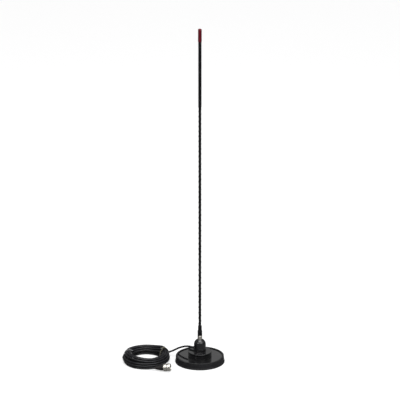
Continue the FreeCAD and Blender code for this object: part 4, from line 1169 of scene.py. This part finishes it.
def addDomeCap():
    size = SimpleNamespace(**domeSetup)
    foot = floorOf("dome_cap")
    spring = size.spring

    def arc(radius, start, end):
        # from one distance off the axis to another, on the dome's sphere
        first = math.acos(start / radius)
        last = math.acos(end / radius)
        angles = [first + (last - first) * step / size.arcSteps for step in range(size.arcSteps + 1)]
        return [(radius * math.cos(a), spring + radius * math.sin(a)) for a in angles]

    outline = [(size.radius, 0), *arc(size.radius, size.radius, size.crown)]
    outline += [(size.neck, size.height), (size.neck, size.shoulder), (size.bore, size.shoulder)]
    outline += [(size.bore, size.bossFoot), (size.boss, size.bossFoot)]
    inner = size.radius - size.wall
    outline += [*arc(inner, size.boss, inner), (inner, 0)]
    body = lathe("domeCap", outline, 128, 0.3, foot)
    level = foot + size.screwHeight
    drills = []
    for number in range(size.screws):
        drill = rod("drill", size.screwRadius + 0.03, 6, 32)
        drill.transform(onto(inner - 1, level, size.screwAngle + 360 * number / size.screws))
        drills.append(drill)
    finishPiece("domeCap", cutWith(body, *drills), "dome_cap")
    radius, length = size.screwRadius, size.screwLength
    outline = [
        (0, 0), (radius - 0.3, 0), (radius, 0.3), (radius, length - 0.2), (radius - 0.2, length), (0, length)
    ]
    screw = lathe("setScrew", outline, 32, 0)
    keyFoot = length - 1.5
    key = lathe("key", [(0, keyFoot), (0.72, keyFoot), (0.72, 4), (0, 4)], 6, 0)
    screw = cutWith(screw, key)
    screw.transform(onto(inner, level, 0))
    screws = ringOf(screw, size.screws, size.screwAngle, slotOf["cap_set_screws"])
    finishPiece("capSetScrews", screws, "cap_set_screws", None, 30)


addBoot()
addFlange()
addDomeBase()
addDomeCap()
print("base: boot, flange and dome")


# socket and ferrule: 24 threads to the inch

threadSetup = {"pitch": 25.4 / 24, "rows": 8, "around": 72, "sharpness": 1.1}
threadRow = threadSetup["pitch"] / threadSetup["rows"]

socketSetup = {
    "neck": 6.0,
    "body": 7.6,
    "neckLength": 6.0,
    "bore": 4.802,
    "boreDepth": 14.0,
    "screwHole": 2.03,
    "groove": 0.32,
}

ferruleSetup = {
    "stud": 4.762,
    "threadDepth": 0.5,
    "studLength": 13.0,
    "radius": 6.35,
    "bright": 9.2,
    "neck": 5.8,
    "neckLength": 13.5,
    "step": 4.7,
    "stepLength": 12.5,
    "seat": 3.205,
    "seatDepth": 22.0,
}


def threaded(mesh, slot, start, stop, height, least, most, fade=1.0):
    pitch = threadSetup["pitch"]
    sizes = {
        "footPitch": pitch, "headPitch": pitch, "starts": 1.0, "hand": -1.0,
        "sharpness": threadSetup["sharpness"],
    }
    sizes.update(start=start, stop=stop, fade=fade, height=height, leastRadius=least, mostRadius=most)
    return runTree("winding", mesh, slot, **sizes)


def addSocket():
    size = SimpleNamespace(**socketSetup)
    foot, top = floorOf("antenna_socket"), topOf("antenna_socket")
    shoulder = top - size.neckLength
    bottom = top - size.boreDepth
    outline = [(size.screwHole, foot), (size.body, foot), (size.body, shoulder), (size.neck, shoulder)]
    outline += [
        (size.neck, top - 0.3), (size.neck - 0.3, top), (size.bore + 0.5, top), (size.bore, top - 0.5)
    ]
    outline += runOf(size.bore, top - 0.6, bottom + 0.4, threadRow)
    outline += [(size.bore - 0.3, bottom), (size.screwHole, bottom)]
    mesh = lathe("socket", outline, threadSetup["around"], 0)
    reach = (bottom + 0.5, top - 0.4)
    walls = (size.bore - 0.1, size.bore + 0.1)
    mesh = threaded(mesh, slotOf["antenna_socket"], *reach, size.groove, *walls, 0.6)
    return finishPiece("antennaSocket", mesh, "antenna_socket", None, 50)


def addFerrule():
    size = SimpleNamespace(**ferruleSetup)
    foot = floorOf("ferrule")
    root = size.stud - size.threadDepth
    radius = size.radius
    shoulder = foot + size.studLength
    neck = shoulder + size.bright
    stepFoot = neck + size.neckLength
    top = stepFoot + size.stepLength
    outline = [
        (0, foot), (root - 0.6, foot), (root, foot + 0.6),
        *runOf(root, foot + 0.7, shoulder - 0.9, threadRow),
    ]
    outline += [(root - 0.25, shoulder - 0.6), (root - 0.25, shoulder), (radius - 0.5, shoulder)]
    # a fine ring is turned in the bright part, below the neck that the jacket covers
    outline += [(radius, shoulder + 0.5), (radius, neck - 1.5), (radius - 0.18, neck - 1.3)]
    outline += [
        (radius - 0.18, neck - 1.0), (radius, neck - 0.8), (radius, neck - 0.25), (radius - 0.25, neck)
    ]
    outline += [(size.neck, neck), (size.neck, stepFoot), (size.step, stepFoot), (size.step, top)]
    outline += [(size.seat, top), (size.seat, top - size.seatDepth), (0, top - size.seatDepth)]
    mesh = lathe("ferrule", outline, threadSetup["around"], 0)
    reach = (foot, shoulder - 0.4)
    mesh = threaded(mesh, slotOf["ferrule"], *reach, size.threadDepth, root - 0.1, root + 0.1, 1.2)
    return finishPiece("whipFerrule", mesh, "ferrule", None, 40)


addSocket()
addFerrule()
print("socket and ferrule: threads cut")


# whip: the wire spirals up the rod, and the shrink jacket follows it

whipSetup = {
    "footPitch": 15.6,
    "headPitch": 13.9,
    "wireRing": 3.605,
    "wireRadius": 0.4,
    "valley": 3.52,
    "jacketWall": 0.33,
    "ridge": 0.81,
    "sharpness": 12.0,
    "fade": 4.0,
    "around": 40,
    "row": 0.8,
    "overNeck": 6.15,
    "overStep": 5.05,
    "smooth": 4.33,
    "wirePoints": 1300,
    "wireSides": 8,
}


def addWhip():
    size = SimpleNamespace(**whipSetup)
    foot, top = floorOf("whip_jacket"), topOf("whip_jacket")
    start, stop = floorOf("radiator_wire") + 0.2, topOf("radiator_wire")
    wound = {"start": start, "stop": stop, "footPitch": size.footPitch, "headPitch": size.headPitch}
    neckTop = foot + ferruleSetup["neckLength"]
    overNeck, overStep = size.overNeck, size.overStep

    def wallAt(height):
        # the outside of the jacket between the ridges
        low = ease((height - start) / size.fade)
        high = ease((stop - height) / size.fade)
        outside = overStep + (size.valley - overStep) * low
        return outside + (size.smooth - size.valley) * (1 - high)

    count = round((stop + 1 - start) / size.row)
    heights = [start - 0.4 + (stop + 1 - start) * number / count for number in range(count + 1)]
    outline = [(overNeck - 0.25, foot), (overNeck, foot + 0.3), (overNeck, neckTop - 0.3)]
    outline += [(overNeck - 0.12, neckTop), (overStep + 0.12, neckTop + 1.2), (overStep, neckTop + 1.6)]
    outline += [(wallAt(height), height) for height in heights]
    outline += [(size.smooth, top - 0.15), (size.smooth - 0.15, top)]
    thick = size.jacketWall
    inner = [(size.smooth - thick, top), *[(wallAt(height) - thick, height) for height in heights[::-2]]]
    inner += [(overStep - thick, neckTop + 1.4), (overNeck - thick, neckTop), (overNeck - thick, foot)]
    mesh = lathe("jacket", outline + inner, size.around, 0)
    sizes = {**wound, "fade": size.fade, "starts": 1.0, "hand": 1.0, "height": size.ridge}
    sizes.update(sharpness=size.sharpness, leastRadius=0.0, mostRadius=overStep + 0.1)
    mesh = runTree("winding", mesh, slotOf["whip_jacket"], **sizes)
    finishPiece("whipJacket", mesh, "whip_jacket", None, 60)
    sizes = {**wound, "ring": size.wireRing, "wireRadius": size.wireRadius}
    sizes.update(points=size.wirePoints, sides=size.wireSides)
    wire = runTree("wire", bpy.data.meshes.new("wire"), slotOf["radiator_wire"], **sizes)
    finishPiece("radiatorWire", wire, "radiator_wire", None, 60)
    print("whip: turns of wire", round((stop - start) * (1 / size.footPitch + 1 / size.headPitch) / 2, 1))


capSetup = {"bore": 4.405, "radius": 4.955, "length": 35.0, "end": 2.4, "bead": 5.06, "beadHeight": 1.3}


def addTipCap():
    size = SimpleNamespace(**capSetup)
    foot = floorOf("tip_cap")
    radius, length = size.radius, size.length
    outline = [(size.bore, 0), (size.bead - 0.1, 0), (size.bead, 0.2), (size.bead, size.beadHeight - 0.2)]
    outline += [(radius, size.beadHeight + 0.4), (radius - 0.06, length * 0.5), (radius - 0.03, length - 2.6)]
    for step in range(1, 9):
        turn = math.pi / 2 * step / 8
        outline.append((radius - 0.03 - 2.3 * (1 - math.cos(turn)), length - 2.6 + 2.5 * math.sin(turn)))
    outline += [(0, length), (0, length - size.end), (size.bore, length - size.end)]
    return finishPiece("tipCap", lathe("cap", outline, 64, 0, foot), "tip_cap", None, 50)


addWhip()
addTipCap()


# cable gland and coaxial plug

glandSetup = {
    "bore": 2.53,
    "stem": 3.3,
    "collar": 4.4,
    "nose": 3.2,
    "register": 10.8,
    "seat": 5.43,
    "collarEnd": 6.93,
    "end": 10.43,
    "ribs": 3,
}


def addGland():
    size = SimpleNamespace(**glandSetup)
    outline = [(size.bore, 0), (size.stem, 0), (size.stem, size.seat), (size.collar, size.seat)]
    outline += [(size.collar, size.collarEnd)]
    for number in range(size.ribs):
        # rings of the nose step down towards the cable
        share = (number + 0.5) / size.ribs
        along = size.collarEnd + (size.end - size.collarEnd) * (number + 1) / size.ribs
        radius = size.collar - 0.35 + (size.nose - size.collar + 0.35) * share
        outline += [
            (radius - 0.4, along - 0.95), (radius, along - 0.75), (radius, along - 0.1),
            (radius - 0.3, along),
        ]
    outline += [(size.bore + 0.25, size.end), (size.bore, size.end - 0.2)]
    place = onto(size.register, glandHeight, glandBearing)
    return finishPiece("cableGland", lathe("gland", outline, 64, 0.08), "cable_gland", place, 40)


plugSetup = {
    "ring": {
        "back": 6.26,
        "outer": 9.72,
        "knurl": 0.28,
        "length": 19.0,
        "bore": 7.94,
        "backThick": 1.6,
        "threadFoot": 5.5,
        "teeth": 40.0,
        "bands": ((1.4, 8.2), (10.8, 17.6)),
        "groove": 0.7,
        "row": 0.32,
        "around": 240,
    },
    "body": {
        "barrel": 6.2,
        "rear": -9.0,
        "flangeFoot": 1.66,
        "flange": 7.6,
        "flangeTop": 3.26,
        "sleeve": 6.0,
        "sleeveEnd": 12.0,
    },
    "sleeve": {
        "bore": 5.2,
        "seat": 2.0,
        "core": 2.53,
        "coreAt": -0.97,
        "reducer": 4.43,
        "notches": 4,
        "notchWidth": 1.6,
        "notchDepth": 1.4,
    },
    "boot": {
        "rear": -24.5,
        "rearRadius": 3.3,
        "cone": 7.2,
        "coneAt": -8.0,
        "front": 7.7,
        "frontAt": -1.0,
        "ribs": 6,
        "ribDepth": 0.35,
        "bore": 6.23,
        "ledgeAt": -9.03,
        "neckBore": 5.03,
        "neckAt": -11.03,
    },
    "pin": {"radius": 1.98, "end": 14.0, "tip": 1.2, "dimple": 0.75},
}


def addCouplingRing():
    size = SimpleNamespace(**plugSetup["ring"])
    (firstLow, firstHigh), (nextLow, nextHigh) = size.bands
    outer, groove = size.outer, size.groove
    outline = [(size.back, 0), (outer - 0.5, 0), (outer, 0.5), (outer, firstLow - 0.1)]
    outline += runOf(outer, firstLow, firstHigh, size.row)
    outline += [
        (outer - 0.05, firstHigh + 0.3), (outer - groove, firstHigh + 0.7), (outer - groove, nextLow - 0.7)
    ]
    outline += [(outer - 0.05, nextLow - 0.3), *runOf(outer, nextLow, nextHigh, size.row)]
    outline += [(outer, size.length - 0.6), (outer - 0.6, size.length), (size.bore + 0.5, size.length)]
    outline += [
        *runOf(size.bore, size.length - 0.6, size.threadFoot, threadRow), (size.bore, size.backThick),
        (size.back, size.backThick),
    ]
    mesh = lathe("ring", outline, size.around, 0)
    around = fullTurn * outer / size.teeth
    for low, high in size.bands:
        for hand in (1.0, -1.0):
            sizes = {
                "start": low, "stop": high, "fade": 0.5, "footPitch": around, "headPitch": around,
                "hand": hand,
            }
            sizes.update(starts=size.teeth, height=size.knurl / 2, sharpness=0.8)
            sizes.update(leastRadius=outer - 0.05, mostRadius=outer * 2)
            mesh = runTree("winding", mesh, slotOf["coupling_ring"], **sizes)
    mesh = threaded(
        mesh, slotOf["coupling_ring"], size.threadFoot + 0.1, size.length - 0.6, 0.3, size.bore - 0.05,
        size.bore + 0.05, 0.8,
    )
    return finishPiece("couplingRing", mesh, "coupling_ring", plugPlace, 50)


def addPlug():
    body, sleeve, boot, pin = (SimpleNamespace(**plugSetup[key]) for key in ("body", "sleeve", "boot", "pin"))
    outline = [(sleeve.reducer, body.rear), (body.barrel, body.rear), (body.barrel, body.flangeFoot)]
    outline += [(body.flange, body.flangeFoot), (body.flange, body.flangeTop), (body.sleeve, body.flangeTop)]
    outline += [(body.sleeve, body.sleeveEnd), (sleeve.bore, body.sleeveEnd), (sleeve.bore, sleeve.seat)]
    outline += [(sleeve.core, sleeve.seat), (sleeve.core, sleeve.coreAt), (sleeve.reducer, sleeve.coreAt)]
    barrel = lathe("plugBody", outline, 96, 0.15)
    notch = block("notch", (4, sleeve.notchWidth, sleeve.notchDepth * 2), 0.1)
    notch.transform(Matrix.Translation((body.sleeve, 0, body.sleeveEnd)))
    notches = ringOf(notch, sleeve.notches, 45.0, slotOf["plug_body"])
    parts = [finishPiece("plugBody", cutWith(barrel, notches), "plug_body", plugPlace)]

    outline = [(sleeve.core, boot.rear), (boot.rearRadius, boot.rear), (boot.rearRadius, boot.rear + 1.2)]
    ribbed = boot.coneAt - boot.rear - 1.5
    for number in range(boot.ribs):
        low = boot.rear + 1.5 + ribbed * number / boot.ribs
        share = (low - boot.rear) / (boot.coneAt - boot.rear)
        radius = boot.rearRadius + (boot.cone - boot.rearRadius) * share
        outline += [(radius - boot.ribDepth, low + 0.15), (radius - boot.ribDepth, low + 0.7)]
        outline += [(radius + 0.12, low + 1.0), (radius + 0.3, low + ribbed / boot.ribs - 0.25)]
    outline += [(boot.cone, boot.coneAt + 0.3), (boot.front, boot.frontAt - 1.6), (boot.front, boot.frontAt)]
    outline += [(boot.bore, boot.frontAt), (boot.bore, boot.ledgeAt), (boot.neckBore, boot.ledgeAt)]
    outline += [(boot.neckBore, boot.neckAt), (sleeve.core, boot.neckAt)]
    parts.append(
        finishPiece("plugBoot", lathe("plugBoot", outline, 72, 0.12, 0, 2), "plug_boot", plugPlace, 40)
    )

    tip = pin.end
    outline = [
        (0, 0), (pin.radius, 0), (pin.radius, tip - 1.0), (pin.radius - 0.25, tip - 0.4), (pin.tip, tip)
    ]
    outline += [(pin.dimple, tip), (pin.dimple - 0.15, tip - 0.3), (0, tip - 0.9)]
    parts.append(finishPiece("centrePin", lathe("pin", outline, 40, 0.1), "centre_pin", plugPlace, 40))
    return parts


addGland()
ring = addCouplingRing()
plugParts = addPlug()
print("gland and plug")
